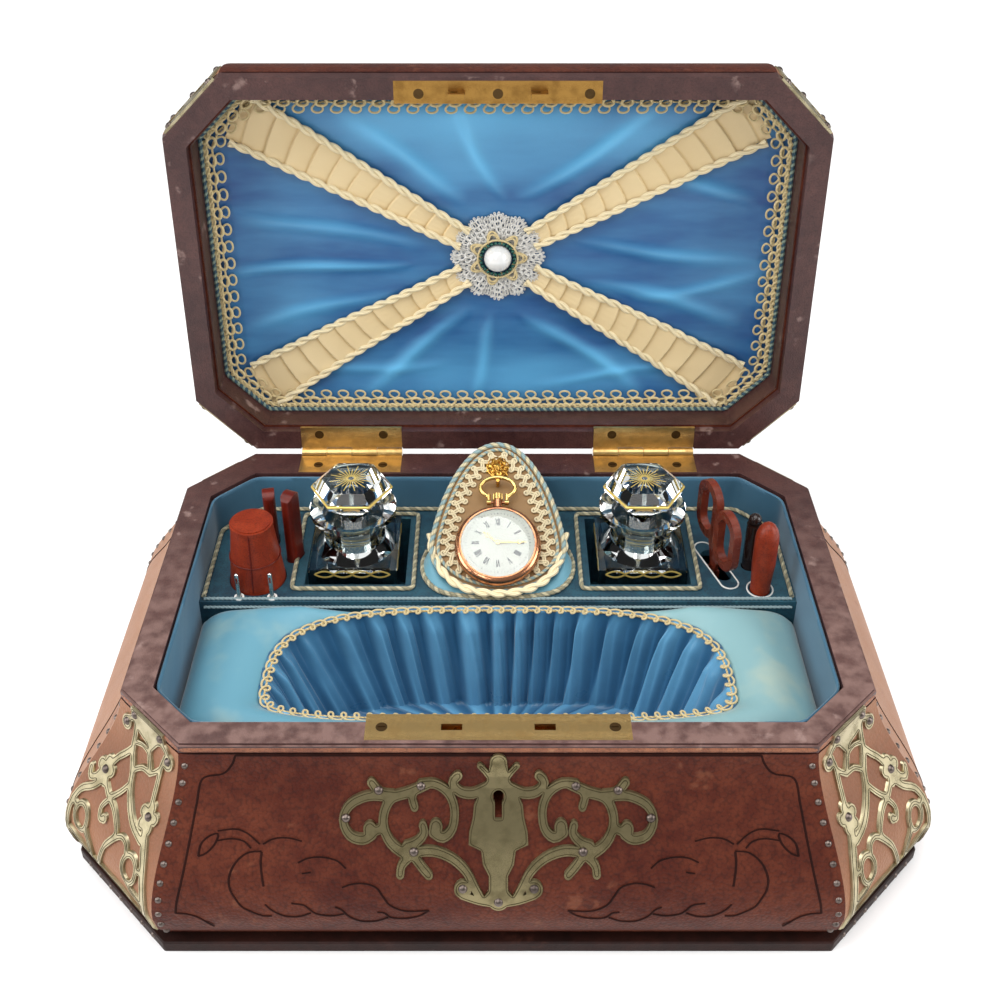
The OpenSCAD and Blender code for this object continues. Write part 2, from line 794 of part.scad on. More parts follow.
function wall_point(a) = // where a ray at this angle from the well's centre meets the silk wall
    let (dx = cos(a), dy = sin(a), x = inner_x - cushion_gap, f = inner_front - cushion_gap,
        b = tray_front - cushion_gap, big = 1e6,
        tx = abs(dx) > 0.001 ? x / abs(dx) : big,
        ty = dy > 0.001 ? (b - oval_y) / dy : (dy < -0.001 ? (f + oval_y) / -dy : big),
        t0 = min(tx, ty),
        diag_n = (x + f - inner_cut) / sqrt(2),
        proj = (abs(dx) - dy) / sqrt(2),
        td = dy < 0 && proj > 0.01 ? (diag_n + oval_y / sqrt(2)) / proj : big)
    [0, oval_y] + min(t0, td) * [dx, dy];

cushion_crown = 7.5;
cushion_edge_z = 52;
cushion_foot = 38.3;

module pincushion(side) {
    around = 48;
    across = 8;
    span = 178;
    function angle_at(i) = 90 + side * -1 * (1 + span * i / around);
    ring = [for (i = [0 : around]) let (a = angle_at(i), p = ray_on_oval(a), q = wall_point(a))
        [p, q]];
    top = [for (i = [0 : around]) for (k = [0 : across])
        let (t = k / across, p = ring[i][0] + (ring[i][1] - ring[i][0]) * t,
            w = norm(ring[i][1] - ring[i][0]),
            ends = min(1, 4 * i / around + 0.35, 4 * (around - i) / around + 0.35),
            lift = cushion_crown * min(1, w / 22) * pow(sin(180 * t), 0.55) * ends)
        [p[0], p[1], cushion_edge_z + lift]];
    foot = [for (p = top) [p[0], p[1], cushion_foot]];
    n = across + 1;
    count = len(top);
    up = [for (i = [0 : around - 1]) for (k = [0 : across - 1])
        let (a = i * n + k, b = a + 1, c = a + n, d = c + 1) for (f = [[a, b, d], [a, d, c]]) f];
    walls = [for (i = [0 : around - 1]) for (k = [0, across])
        let (a = i * n + k, c = a + n) for (f = k == 0
            ? [[a, c, c + count], [a, c + count, a + count]]
            : [[a, c + count, c], [a, a + count, c + count]]) f];
    ends = [for (i = [0, around]) for (k = [0 : across - 1])
        let (a = i * n + k, b = a + 1) for (f = i == 0
            ? [[a, b + count, b], [a, a + count, b + count]]
            : [[a, b, b + count], [a, b + count, a + count]]) f];
    faces = concat(up, cushion_foot_faces(around, across, count), walls, ends);
    color(side < 0 ? "#8fb9c9" : "#8fb3ae")
        polyhedron(concat(top, foot), side < 0 ? faces : [for (f = faces) [f[2], f[1], f[0]]]);
}

function cushion_foot_faces(around, across, count) = let (n = across + 1)
    [for (i = [0 : around - 1]) for (k = [0 : across - 1])
        let (a = count + i * n + k, b = a + 1, c = a + n, d = c + 1)
        for (f = [[a, d, b], [a, c, d]]) f];

// The well's outline along a ray from its centre, found by bisection on the angle
function ray_on_oval(a) =
    let (target = a % 360,
        p = oval_search(target, target - 60, target + 60, 26)) p;
function oval_search(target, lo, hi, n) =
    let (mid = (lo + hi) / 2, p = oval(mid, silk_t + cushion_gap),
        here = atan2(p[1] - oval_y, p[0]),
        diff = ((here - target + 540) % 360) - 180)
    n == 0 ? p : (diff > 0 ? oval_search(target, lo, mid, n - 1)
        : oval_search(target, mid, hi, n - 1));

module pincushion_left() { pincushion(-1); }
module pincushion_right() { pincushion(1); }

// Watch stand

function stand_half(s) = s <= stand_wide_at
    ? stand_w * sqrt(max(0, 1 - pow((stand_wide_at - s) / (stand_wide_at + stand_low), 2)))
    : stand_w * sqrt(max(0, 1 - pow((s - stand_wide_at) / (stand_len - stand_wide_at), 1.4)));

module stand_shape(inset = 0) {
    rows = 14;
    s_at = [for (i = [0 : rows]) let (m = (stand_len + stand_low) / 2 - inset)
        (stand_len - stand_low) / 2 - m * cos(180 * i / rows)];
    right = [for (s = s_at) [max(0.01, stand_half(s) - inset), s]];
    polygon(concat(right, [for (i = [rows : -1 : 0]) [-right[i][0], right[i][1]]]));
}

module on_stand() {
    translate([0, stand_y, stand_z]) rotate([stand_tilt, 0, 0]) children();
}

module watch_stand() {
    color("#d8c69a") {
        intersection() {
            on_stand() translate([0, 0, -stand_t]) linear_extrude(stand_t) stand_shape();
            translate([-half_w, -half_d, tray_z]) cube([rim_w, rim_d, rim_z]);
        }
        intersection() {
            translate([-11, stand_y + 14, tray_z]) cube([22, 30, 40]);
            on_stand() translate([-half_w, -50, -60 - stand_t]) cube([rim_w, 150, 60]);
        }
    }
}

// Two padded arms that hold the watch's lower half
module watch_cradle() {
    tube = 2;
    arm_from = 6;
    arm_turn = 48;
    color("#e2d3a8") on_watch() for (side = [0, 1]) mirror([side, 0, 0])
        rotate(-arm_from - arm_turn) rotate_extrude(angle = arm_turn) difference() {
            translate([watch_r + 0.5 + tube, 1.6]) circle(r = tube, $fn = 20);
            translate([watch_r, -2 * tube]) square([3 * tube, 2 * tube]);
        }
}

module watch_hook() {
    color("#d9a93c") on_stand() {
        translate([0, hook_s, 0]) {
            cylinder(r = 3, h = 1.4);
            for (i = [0 : 7]) rotate(45 * i) translate([3.4, 0, 0]) cylinder(r = 1.5, h = 1.1);
        }
        translate([0, hook_s, 1.4]) difference() {
            sphere(r = 2, $fn = 24);
            translate([-4, -4, -8]) cube(8);
        }
        translate([-1, post_s, 0]) cube([2, hook_s - post_s - 2.5, 0.9]);
        translate([0, post_s, 0]) cylinder(r = 0.8, h = post_h);
    }
}

module eyelets() {
    color("#e8e4da") for (p = bodkins_at) translate([p[0], p[1], tray_z]) difference() {
        cylinder(r = 2, h = 0.6);
        translate([0, 0, -1]) cylinder(r = bodkin_r + socket_fit, h = 3);
    }
}

// Lid: drawn closed, then turned about the hinge axis to its open rest

module open_lid() {
    translate([0, hinge_y, hinge_z]) rotate([-lid_open, 0, 0])
        translate([0, -hinge_y, -hinge_z]) children();
}

lid_z = rim_z + closed_gap;

module lid_shell() {
    color("#6f2f1f") open_lid() difference() {
        translate([0, 0, lid_z]) crossed(0, true);
        translate([0, 0, lid_z - 1]) linear_extrude(lid_rim_h + 1) square(2 * rim_w, center = true);
        translate([0, 0, lid_z]) linear_extrude(lid_cavity_h) polygon(rim_octagon(-lid_cavity_in));
        lid_screw_shapes();
    }
}

module lid_rim() {
    color("#4a2226") open_lid() difference() {
        intersection() {
            translate([0, 0, lid_z]) crossed(0, true);
            translate([0, 0, lid_z]) linear_extrude(lid_rim_h) square(2 * rim_w, center = true);
        }
        translate([0, 0, lid_z - 1]) linear_extrude(lid_rim_h + 2)
            polygon(rim_octagon(-lid_rim_w));
        striker_recess();
        lid_leaf_recess();
        hinge_cut();
        lid_screw_shapes();
    }
}

striker_x = 39.8;
striker_in = 2.9;
striker_w = 8.8;

module striker_recess() {
    translate([-striker_x, -half_d + striker_in - 1.5, lid_z - leaf_t])
        cube([2 * striker_x, striker_w, 2 * leaf_t]);
}

module lid_leaf_recess() {
    for (side = [-1, 1])
        translate([side * hinge_x - hinge_w / 2, hinge_y - lid_leaf_reach, lid_z - leaf_t])
            cube([hinge_w, lid_leaf_reach, 2 * leaf_t]);
}

module lid_screw_shape() {
    rotate([180, 0, 0]) screw_shape(6);
}

striker_screws = [-30.3, 0, 35];
striker_screw_y = -75.6;
lid_hinge_screw_x = 14;
lid_hinge_screw_y = 9;

module lid_screw_shapes() {
    for (x = striker_screws) translate([x, striker_screw_y, lid_z]) lid_screw_shape();
    for (side = [-1, 1]) for (end = [-1, 1])
        translate([side * hinge_x + end * lid_hinge_screw_x, hinge_y - lid_hinge_screw_y, lid_z])
            lid_screw_shape();
}

module lid_screws() {
    color("#9c7c3c") open_lid() lid_screw_shapes();
}

// Quilted lining: a shallow dish, tucked in deepest under the rosette
function lining_at(t, r) = lining_depth + 5.4 * (1 - exp(-t / 9))
    + (tuft_depth - lining_depth - 5.4) * exp(-pow(r / 16, 2));

function octagon_reach(a, out) = // distance from the centre to the eight-sided outline
    let (c = abs(cos(a)), s = abs(sin(a)))
    min(c > 0.001 ? (half_w + out) / c : 1e6, s > 0.001 ? (half_d + out) / s : 1e6,
        (diag + out) * sqrt(2) / (c + s));

module lid_pad() {
    around = 40;
    rings = 8;
    edge = -lid_cavity_in;
    function ring_r(k) = 1 - pow(1 - k / rings, 1.5);
    function point_at(i, k) = let (a = 360 * i / around, reach = octagon_reach(a, edge),
        r = reach * (k / rings), t = (reach - r) * 0.8)
        [r * cos(a), r * sin(a), lining_at(t, r)];
    front = concat([[0, 0, lining_at(60, 0)]],
        [for (k = [1 : rings]) for (i = [0 : around - 1]) point_at(i, k)]);
    back = concat([for (i = [0 : around - 1]) let (p = point_at(i, rings))
        [p[0], p[1], lid_cavity_h]], [[0, 0, lid_cavity_h]]);
    last = 1 + (rings - 1) * around;
    base = 1 + rings * around;
    faces = concat(
        [for (i = [0 : around - 1]) [0, 1 + i, 1 + (i + 1) % around]],
        [for (k = [0 : rings - 2]) for (i = [0 : around - 1])
            let (a = 1 + k * around + i, b = 1 + k * around + (i + 1) % around,
                c = a + around, d = b + around) for (f = [[a, d, b], [a, c, d]]) f],
        [for (i = [0 : around - 1]) let (a = last + i, b = last + (i + 1) % around,
            c = base + i, d = base + (i + 1) % around) for (f = [[a, d, b], [a, c, d]]) f],
        [for (i = [0 : around - 1]) [base + around, base + (i + 1) % around, base + i]]);
    color("#2f78b8") open_lid() translate([0, 0, lid_z])
        polyhedron(concat(front, back), faces);
}

// Four pleated ribbons from the corners to the rosette
strap_from = 20.6;
strap_t = 0.8;
strap_lift = 1.05;

module lid_strap(side, up) {
    steps = 22;
    corner = [side * (half_w - 25), up * (half_d - 21)];
    start = strap_from * corner / norm(corner);
    along = (corner - start) / norm(corner - start);
    across = [-along[1], along[0]];
    function centre(t) = start + (corner - start) * t;
    function half(t) = 3.4 + 6.6 * t;
    function depth_at(p) = let (a = atan2(p[1], p[0]), reach = octagon_reach(a, -lid_cavity_in),
        r = norm(p)) lining_at((reach - r) * 0.8, r);
    function face(t, k, lift) = let (p = centre(t) + across * half(t) * k)
        [p[0], p[1], depth_at(p) - lift];
    pleat = [for (i = [0 : steps]) (i % 2 == 0 ? 0.25 : -0.25)];
    points = [for (i = [0 : steps]) let (t = i / steps)
        for (q = [[-1, strap_lift + strap_t], [0, strap_lift + strap_t + 0.25 + pleat[i]],
            [1, strap_lift + strap_t], [1, strap_lift], [0, strap_lift], [-1, strap_lift]])
                face(t, q[0], q[1])];
    n = 6;
    sides = [for (i = [0 : steps - 1]) for (k = [0 : n - 1])
        let (a = i * n + k, b = i * n + (k + 1) % n, c = a + n, d = b + n)
        for (f = [[a, b, d], [a, d, c]]) f];
    caps = [[for (k = [n - 1 : -1 : 0]) k], [for (k = [0 : n - 1]) steps * n + k]];
    faces = concat(sides, caps);
    polyhedron(points, faces);
}

module lid_straps() {
    color("#d9c7a0") open_lid() translate([0, 0, lid_z])
        for (side = [-1, 1]) for (up = [-1, 1]) lid_strap(side, up);
}

module rosette() {
    petals = 8;
    back = tuft_depth - 1.2;
    open_lid() translate([0, 0, lid_z + back]) {
        color("#f3efe4") translate([0, 0, -0.6]) cylinder(r = 3, h = 1.6);
        color("#f3efe4") translate([0, 0, -1.4]) {
            cylinder(r = 17, h = 1);
            for (i = [0 : 15]) rotate(22.5 * i) translate([17, 0, 0]) cylinder(r = 2.6, h = 1);
        }
        color("#cfae62") for (i = [0 : petals - 1])
            rotate(360 / petals * i) translate([8.6, 0, -2.4]) cylinder(r = 3.4, h = 1);
        color("#20504a") translate([0, 0, -3.4]) cylinder(r = 8.8, h = 2);
        color("#f5f2ea") translate([0, 0, -4.2]) difference() {
            sphere(r = 5.2, $fn = 36);
            translate([-10, -10, 0.8]) cube(20);
        }
    }
}

module lid_mount_pattern() {
    polygon([[-15, 1.2], [15, 1.2], [13.6, 4], [6, 4.4], [0, 6], [-6, 4.4], [-13.6, 4]]);
    for (side = [0, 1]) mirror([side, 0]) {
        band([[12, 3], [14.6, 8], [12.6, 13], [8, 14.6], [5, 11.6], [7.4, 9.4]], 2.2);
        band([[0, 5], [3, 9], [2, 14], [5.6, 18]], 2.2);
        band([[12.4, 13], [14.2, 17.4]], 2.2);
    }
    flower([0, 13.6]);
}

module lid_corner_mounts() {
    color("#b9b184") open_lid() translate([0, 0, lid_z]) {
        on_corners(false, mount_t, true) lid_mount_pattern();
        on_corners(true, mount_t, true) lid_mount_pattern();
    }
}

lid_studs_at = [[-12, 3], [12, 3], [-13.4, 16], [13.4, 16], [0, 13.6]];

module lid_studs() {
    color("#5b5650") open_lid() translate([0, 0, lid_z]) difference() {
        for (back = [false, true]) for (side = [-1, 1]) for (s = lid_studs_at)
            at_corner(side, back, s[0], s[1], diag, lid_bow * sin(9 * s[1]) + mount_t)
                nail(stud_r, stud_sink);
        crossed(mount_t, true);
    }
}

module striker_plate() {
    color("#c9a24a") open_lid() {
        difference() {
            translate([-striker_x, -half_d + striker_in - 1.5, lid_z])
                cube([2 * striker_x, striker_w, leaf_t]);
            lid_screw_shapes();
        }
        for (side = [-1, 1])
            translate([side * hook_x, lock_y, lid_z]) difference() {
                translate([-hook_w / 2, -hook_t / 2, -hook_drop]) cube([hook_w, hook_t, hook_drop]);
                translate([-hook_w / 2 - 1, -hook_t, -hook_drop + 1.8])
                    cube([4.6, 2 * hook_t, 2.6]);
            }
    }
}

module upper_leaf(side) {
    color("#c9a24a") open_lid() difference() {
        translate([side * hinge_x, hinge_y, hinge_z]) leaf(0, lid_leaf_reach, 1, pin_r + pin_fit);
        lid_screw_shapes();
    }
}

module left_hinge_upper_leaf() { upper_leaf(-1); }
module right_hinge_upper_leaf() { upper_leaf(1); }

// Bottles

glass_wall = 3;
neck_r = 6.2;
neck_top = 84;
flange_r = 17.6;

module bottle(side) {
    color("#dfe9ea") translate([side * bottle_x, bottle_y, 0]) difference() {
        union() {
            translate([-bottle_w / 2, -bottle_w / 2, bottle_z])
                cube([bottle_w, bottle_w, shoulder_z - bottle_z]);
            translate([0, 0, shoulder_z]) cylinder(r1 = 16.5, r2 = 12.5, h = 4);
            translate([0, 0, shoulder_z + 4]) cylinder(r = 12.5, h = 9.5);
            translate([0, 0, shoulder_z + 13.5]) cylinder(r1 = 12.5, r2 = flange_r, h = 3.5);
            translate([0, 0, shoulder_z + 17]) cylinder(r = flange_r, h = neck_top - shoulder_z - 17);
        }
        translate([glass_wall - bottle_w / 2, glass_wall - bottle_w / 2, bottle_z + glass_wall])
            cube([bottle_w - 2 * glass_wall, bottle_w - 2 * glass_wall,
                shoulder_z - bottle_z - 2 * glass_wall]);
        translate([0, 0, shoulder_z - 2 * glass_wall]) cylinder(r = neck_r, h = 40);
    }
}

module bottle_left() { bottle(-1); }
module bottle_right() { bottle(1); }

plug_fit = 0.1;
plug_foot = 62;
stopper_r = 16;
stopper_foot = 84.3;
girdle_z = 91.5;
girdle_h = 3;
stopper_top = 97.6;

module stopper(side) {
    color("#e9f0f0") translate([side * bottle_x, bottle_y, 0]) {
        translate([0, 0, plug_foot]) cylinder(r = neck_r - plug_fit, h = stopper_foot - plug_foot + 1);
        translate([0, 0, stopper_foot]) cylinder(r1 = 8, r2 = stopper_r, h = girdle_z - stopper_foot,
            $fn = 6);
        translate([0, 0, girdle_z]) cylinder(r = stopper_r, h = girdle_h, $fn = 6);
        translate([0, 0, girdle_z + girdle_h])
            cylinder(r1 = stopper_r, r2 = 12, h = stopper_top - girdle_z - girdle_h, $fn = 6);
    }
}

module stopper_left() { stopper(-1); }
module stopper_right() { stopper(1); }

// Tools

thimble_top = 89;

module thimble_case() {
    color("#a8391c") translate([thimble_at[0], thimble_at[1], 0]) difference() {
        union() {
            translate([0, 0, thimble_foot]) cylinder(r = thimble_r, h = tray_z - thimble_foot);
            translate([0, 0, tray_z]) cylinder(r1 = thimble_r, r2 = 8.2, h = thimble_top - tray_z - 1);
            translate([0, 0, thimble_top - 2]) cylinder(r = 8.6, h = 1.6);
            translate([0, 0, thimble_top - 1.4]) cylinder(r = 7.6, h = 1.4);
        }
        translate([0, 0, thimble_foot - 1]) cylinder(r = 9.4, h = 18.4);
    }
}

module thimble() {
    foot = thimble_foot + 0.4;
    color("#c8c8cc") translate([thimble_at[0], thimble_at[1], foot]) difference() {
        union() {
            cylinder(r = 9, h = 1.4);
            cylinder(r1 = 8.7, r2 = 7.2, h = 14);
            translate([0, 0, 14]) cylinder(r1 = 7.2, r2 = 5.6, h = 2);
        }
        translate([0, 0, -1]) cylinder(r1 = 8.2, r2 = 6.6, h = 14);
    }
}

module etui(at, turn, top) {
    color("#7d2417") translate([at[0], at[1], etui_foot]) rotate(turn) intersection() {
        linear_extrude(top - etui_foot) stadium(etui_len, etui_r);
        translate([0, 0, top - etui_foot - etui_len / 2]) union() {
            rotate([0, 90, 0]) cylinder(r = etui_len / 2, h = 20, center = true);
            translate([-10, -10, -100]) cube([20, 20, 100]);
        }
    }
}

module etui_rear() { etui(etui_rear_at, 10, 86); }
module etui_front() { etui(etui_front_at, -24, 93); }

module needle_case() {
    top = 94;
    color("#c2491f") translate([needle_at[0], needle_at[1], 0]) rotate_extrude()
        polygon(concat([[0, needle_foot], [3.6, needle_foot], [needle_r, tray_z - 3],
            [needle_r, tray_z + 4], [4.7, tray_z + 14]],
            [for (i = [0 : 5]) let (a = 90 * i / 5) [4.7 * cos(a), top - 8 + 8 * sin(a)]]));
}

module stiletto() {
    color("#2a2320") translate([stiletto_at[0], stiletto_at[1], 0]) {
        translate([0, 0, stiletto_foot]) cylinder(r1 = 0.8, r2 = 2, h = 12);
        translate([0, 0, stiletto_foot + 12]) cylinder(r = stiletto_r, h = 82 - stiletto_foot - 12);
        translate([0, 0, 84.2]) sphere(r = 2.6, $fn = 28);
    }
}

module bodkin(at, top) {
    color("#d5d5d8") translate([at[0], at[1], 0]) difference() {
        union() {
            translate([0, 0, bodkin_foot]) cylinder(r = bodkin_r, h = top - bodkin_foot - bodkin_r);
            translate([0, 0, top - bodkin_r]) sphere(r = bodkin_r, $fn = 20);
        }
        translate([-0.35, -2, top - 4.6]) cube([0.7, 4, 3]);
    }
}

module bodkin_left() { bodkin(bodkins_at[0], 72.4); }
module bodkin_right() { bodkin(bodkins_at[1], 72.8); }

// Scissors: two flat halves crossed on a screw, blades down in the tray
module on_scissors() {
    translate([scissors_at[0], scissors_at[1], 0]) rotate(scissors_turn) children();
}

blade_t = 1.5;
blade_gap = 0.05;
loop_t = 3.2;
scissors_screw_r = 1.2;

// One half, drawn across and up, its loop on the positive side
module half_outline() {
    polygon([[-2.6, pivot_z + 3], [2.6, pivot_z + 3], [2.9, pivot_z - 2], [0.6, 17],
        [-1, 16], [-2.9, pivot_z - 2]]);
    band([[0, pivot_z], [1.6, 60], [3.6, 66], [5, 70]], 4.4);
}

module loop_outline() {
    rise = 9.4;
    translate([loop_y, loop_z]) difference() {
        stadium(2 * rise + 8, 8.2);
        stadium(2 * rise + 0.6, 4.6);
    }
}

// side 1: rear half, side -1: front half
module scissors_half(side, bore) {
    on_scissors() difference() {
        union() {
            rotate([90, 0, 90]) {
                translate([0, 0, side > 0 ? blade_gap : -blade_gap - blade_t])
                    linear_extrude(blade_t) mirror([side > 0 ? 0 : 1, 0]) half_outline();
                translate([0, 0, side > 0 ? blade_gap : blade_gap - loop_t - 0.1])
                    linear_extrude(loop_t) mirror([side > 0 ? 0 : 1, 0]) loop_outline();
            }
        }
        translate([0, 0, pivot_z]) rotate([0, 90, 0]) cylinder(r = bore, h = 20, center = true);
    }
}

module scissors_rear_half() { color("#8e2f1c") scissors_half(1, scissors_screw_r); }
module scissors_front_half() { color("#8e2f1c") scissors_half(-1, scissors_screw_r + 0.05); }

module scissors_screw() {
    head = 0.7;
    color("#b8b8bc") on_scissors() translate([0, 0, pivot_z]) rotate([0, 90, 0]) {
        cylinder(r = scissors_screw_r, h = 2 * (blade_t + blade_gap + 0.1), center = true);
        translate([0, 0, blade_t + blade_gap]) cylinder(r = 2, h = head);
        translate([0, 0, -blade_t - blade_gap - 0.1 - head]) cylinder(r = 2, h = head);
    }
}

// Watch: stands on the board's face, held by the padded cradle and the hook

dial_r = 14.85;
dial_z = watch_lift + watch_t - 1.8;

module on_watch() {
    on_stand() translate([0, watch_s, 0]) children();
}

module watch_case() {
    color("#a8734d") on_watch() {
        rotate_extrude() difference() {
            union() {
                translate([0, watch_lift]) square([watch_r - 2, watch_t - 0.6]);
                translate([watch_r - 2.8, watch_lift + watch_t / 2]) circle(r = 2.8);
                translate([watch_r - 4, watch_lift + watch_t / 2 - 2.8]) square([1.4, 5.6]);
                translate([0, watch_lift]) square([watch_r - 2.8, 4]);
            }
            translate([-1, dial_z]) square([dial_r + 1.1, 10]);
            translate([-1, dial_z - 1.6]) square([2, 2]);
            translate([-20, 0]) square([20, 20]);
        }
        difference() {
            translate([0, watch_r - 1, watch_lift + watch_t / 2]) rotate([-90, 0, 0])
                cylinder(r = 1.9, h = 3.7);
            translate([0, 0, watch_lift + watch_t / 2]) rotate([-90, 0, 0])
                cylinder(r = crown_bore_r, h = 30);
        }
        translate([0, bow_pivot_s - watch_s, watch_lift + watch_t / 2]) rotate([0, 90, 0])
            difference() {
                cylinder(r = bow_pin_r, h = 2 * bow_foot_x + 1.8, center = true);
                rotate([90, 0, 0]) cylinder(r = crown_bore_r, h = 4, center = true);
            }
    }
}

module watch_dial() {
    color("#f4f2ec") on_watch() translate([0, 0, dial_z]) difference() {
        cylinder(r = dial_r, h = 0.4);
        translate([0, 0, -1]) cylinder(r = 0.65, h = 3);
    }
}

module watch_crystal() {
    dome_r = 60;
    glass_t = 0.7;
    rise = 2;
    color("#e6eef0") on_watch() translate([0, 0, watch_lift + watch_t - 0.6]) rotate_extrude()
        intersection() {
            difference() {
                translate([0, rise - dome_r]) circle(r = dome_r, $fn = 180);
                translate([0, rise - dome_r]) circle(r = dome_r - glass_t, $fn = 180);
            }
            translate([0, -1]) square([dial_r + 0.1, 4]);
        }
}

arbor_r = 0.35;
hand_t = 0.25;
hour_turn = -307.5;
minute_turn = -90;

module hand(length, w, tip) {
    linear_extrude(hand_t) {
        circle(r = 0.9, $fn = 20);
        polygon([[-w / 2, 0], [w / 2, 0], [w * 0.3, length * 0.6], [0.12, length],
            [-0.12, length], [-w * 0.3, length * 0.6]]);
        translate([0, length * tip]) circle(r = w, $fn = 16);
    }
}

module hour_hand() {
    color("#c79a3a") on_watch() translate([0, 0, dial_z + 0.5]) rotate(hour_turn) difference() {
        union() {
            hand(7.4, 0.9, 0.72);
            translate([0, 0, -1.2]) cylinder(r = 0.6, h = 1.3);
        }
        translate([0, 0, -3]) cylinder(r = arbor_r + 0.05, h = 6);
    }
}

module minute_hand() {
    color("#c79a3a") on_watch() translate([0, 0, dial_z + 0.95]) {
        rotate(minute_turn) hand(11.6, 0.75, 0.74);
        translate([0, 0, -1.9]) cylinder(r = arbor_r, h = 2);
    }
}

module watch_crown() {
    teeth = 16;
    color("#c79a3a") on_watch() translate([0, watch_r + 2.9, watch_lift + watch_t / 2])
        rotate([-90, 0, 0]) {
            linear_extrude(2.6) {
                circle(r = 1.9);
                for (i = [0 : teeth - 1]) rotate(360 / teeth * i) translate([1.9, 0])
                    circle(r = 0.25, $fn = 8);
            }
            translate([0, 0, -2.6]) cylinder(r = 0.55, h = 2.7);
        }
}

// The bow: a ring flattened a little, its two feet on the pendant's pivot pin
module watch_bow() {
    bow_c = bow_s - watch_s;
    steps = 20;
    sides = 10;
    start = -57;
    foot_r = 1.1;
    pivot_fit = 0.05;
    rx = bow_w / 2 - bow_wire;
    ry = bow_h / 2 - bow_wire;
    foot_top = bow_c + ry * sin(start);
    color("#c79a3a") on_watch() translate([0, 0, watch_lift + watch_t / 2]) difference() {
        union() {
            translate([0, bow_c, 0]) sweep_arc(rx, ry, start, 180 - start, steps, sides, bow_wire);
            for (side = [-1, 1]) {
                translate([side * bow_foot_x, bow_pivot_s - watch_s, 0]) rotate([0, 90, 0])
                    cylinder(r = foot_r, h = 1.6, center = true);
                translate([side * bow_foot_x, bow_pivot_s - watch_s + 0.8, 0])
                    rotate([-90, 0, 0])
                        cylinder(r = 0.8, h = foot_top - bow_pivot_s + watch_s);
            }
        }
        translate([0, bow_pivot_s - watch_s, 0]) rotate([0, 90, 0])
            cylinder(r = bow_pin_r + pivot_fit, h = 20, center = true);
    }
}

module sweep_arc(rx, ry, from, to, steps, sides, r) {
    rings = [for (i = [0 : steps]) let (a = from + (to - from) * i / steps,
        c = [rx * cos(a), ry * sin(a)], n = [cos(a) / rx, sin(a) / ry], m = n / norm(n))
        [for (k = [0 : sides - 1]) let (b = 360 * k / sides)
            [c[0] + m[0] * r * cos(b), c[1] + m[1] * r * cos(b), r * sin(b)]]];
    points = [for (ring = rings) for (p = ring) p];
    faces = concat([for (i = [0 : steps - 1]) for (k = [0 : sides - 1])
        let (a = i * sides + k, b = i * sides + (k + 1) % sides, c = a + sides, d = b + sides)
        for (f = [[a, b, d], [a, d, c]]) f],
        [[for (k = [sides - 1 : -1 : 0]) k], [for (k = [0 : sides - 1]) steps * sides + k]]);
    polyhedron(points, faces);
}

base_plinth();
body_carcass();
body_rim();
lining_walls();
floor_pad();
front_corner_mounts();
rear_corner_mounts();
dome_studs();
escutcheon();
lock_case();
lock_plate();
body_screws();
left_hinge_lower_leaf();
right_hinge_lower_leaf();
hinge_pins();
tray_board();
tool_sockets();
bottle_wells();
front_deck();
well_silk();
pincushion_left();
pincushion_right();
watch_stand();
watch_cradle();
watch_hook();
eyelets();
lock_bolt();
lid_shell();
lid_rim();
lid_pad();
lid_corner_mounts();
lid_studs();
striker_plate();
lid_screws();
left_hinge_upper_leaf();
right_hinge_upper_leaf();
lid_straps();
rosette();
bottle_left();
bottle_right();
stopper_left();
stopper_right();
thimble_case();
thimble();
etui_rear();
etui_front();
needle_case();
scissors_front_half();
scissors_rear_half();
scissors_screw();
stiletto();
bodkin_left();
bodkin_right();
watch_case();
watch_crystal();
watch_dial();
hour_hand();
minute_hand();
watch_crown();
watch_bow();
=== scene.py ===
# %% [markdown]
# # Dressing a fitted sewing box
# The real box is a bulging wooden carcass under tooled leather, with pierced brass on its corners,
# a lid padded in satin, and a tray of bottles and tools round a watch stand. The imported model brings
# the hard parts, each on the body that moves it. This file gives every part its finish, and makes
# the cloth, the cords and the trimmings, which a solid modeller can't do well. Shapes are worked
# out in millimetres on the shut, upright box, and are turned into metres when a mesh is made.

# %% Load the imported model
import json
import math

import bmesh
import bpy
import numpy as np
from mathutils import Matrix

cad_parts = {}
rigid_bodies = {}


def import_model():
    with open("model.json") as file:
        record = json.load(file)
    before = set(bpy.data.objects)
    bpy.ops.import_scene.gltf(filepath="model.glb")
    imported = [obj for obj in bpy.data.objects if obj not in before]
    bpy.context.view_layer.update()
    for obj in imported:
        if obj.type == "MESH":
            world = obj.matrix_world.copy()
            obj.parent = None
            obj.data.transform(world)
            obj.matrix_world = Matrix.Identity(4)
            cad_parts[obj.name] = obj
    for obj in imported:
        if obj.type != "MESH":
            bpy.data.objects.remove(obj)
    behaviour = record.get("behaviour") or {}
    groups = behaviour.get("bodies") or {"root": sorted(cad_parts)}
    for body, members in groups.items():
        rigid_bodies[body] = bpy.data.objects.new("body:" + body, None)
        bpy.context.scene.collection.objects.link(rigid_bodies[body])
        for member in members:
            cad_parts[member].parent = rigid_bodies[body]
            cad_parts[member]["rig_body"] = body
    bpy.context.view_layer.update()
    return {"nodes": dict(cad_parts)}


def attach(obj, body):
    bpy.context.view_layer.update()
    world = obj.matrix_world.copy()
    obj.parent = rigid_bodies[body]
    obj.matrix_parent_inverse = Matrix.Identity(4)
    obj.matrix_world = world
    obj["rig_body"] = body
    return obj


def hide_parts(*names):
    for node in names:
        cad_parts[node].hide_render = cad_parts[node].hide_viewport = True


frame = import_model()

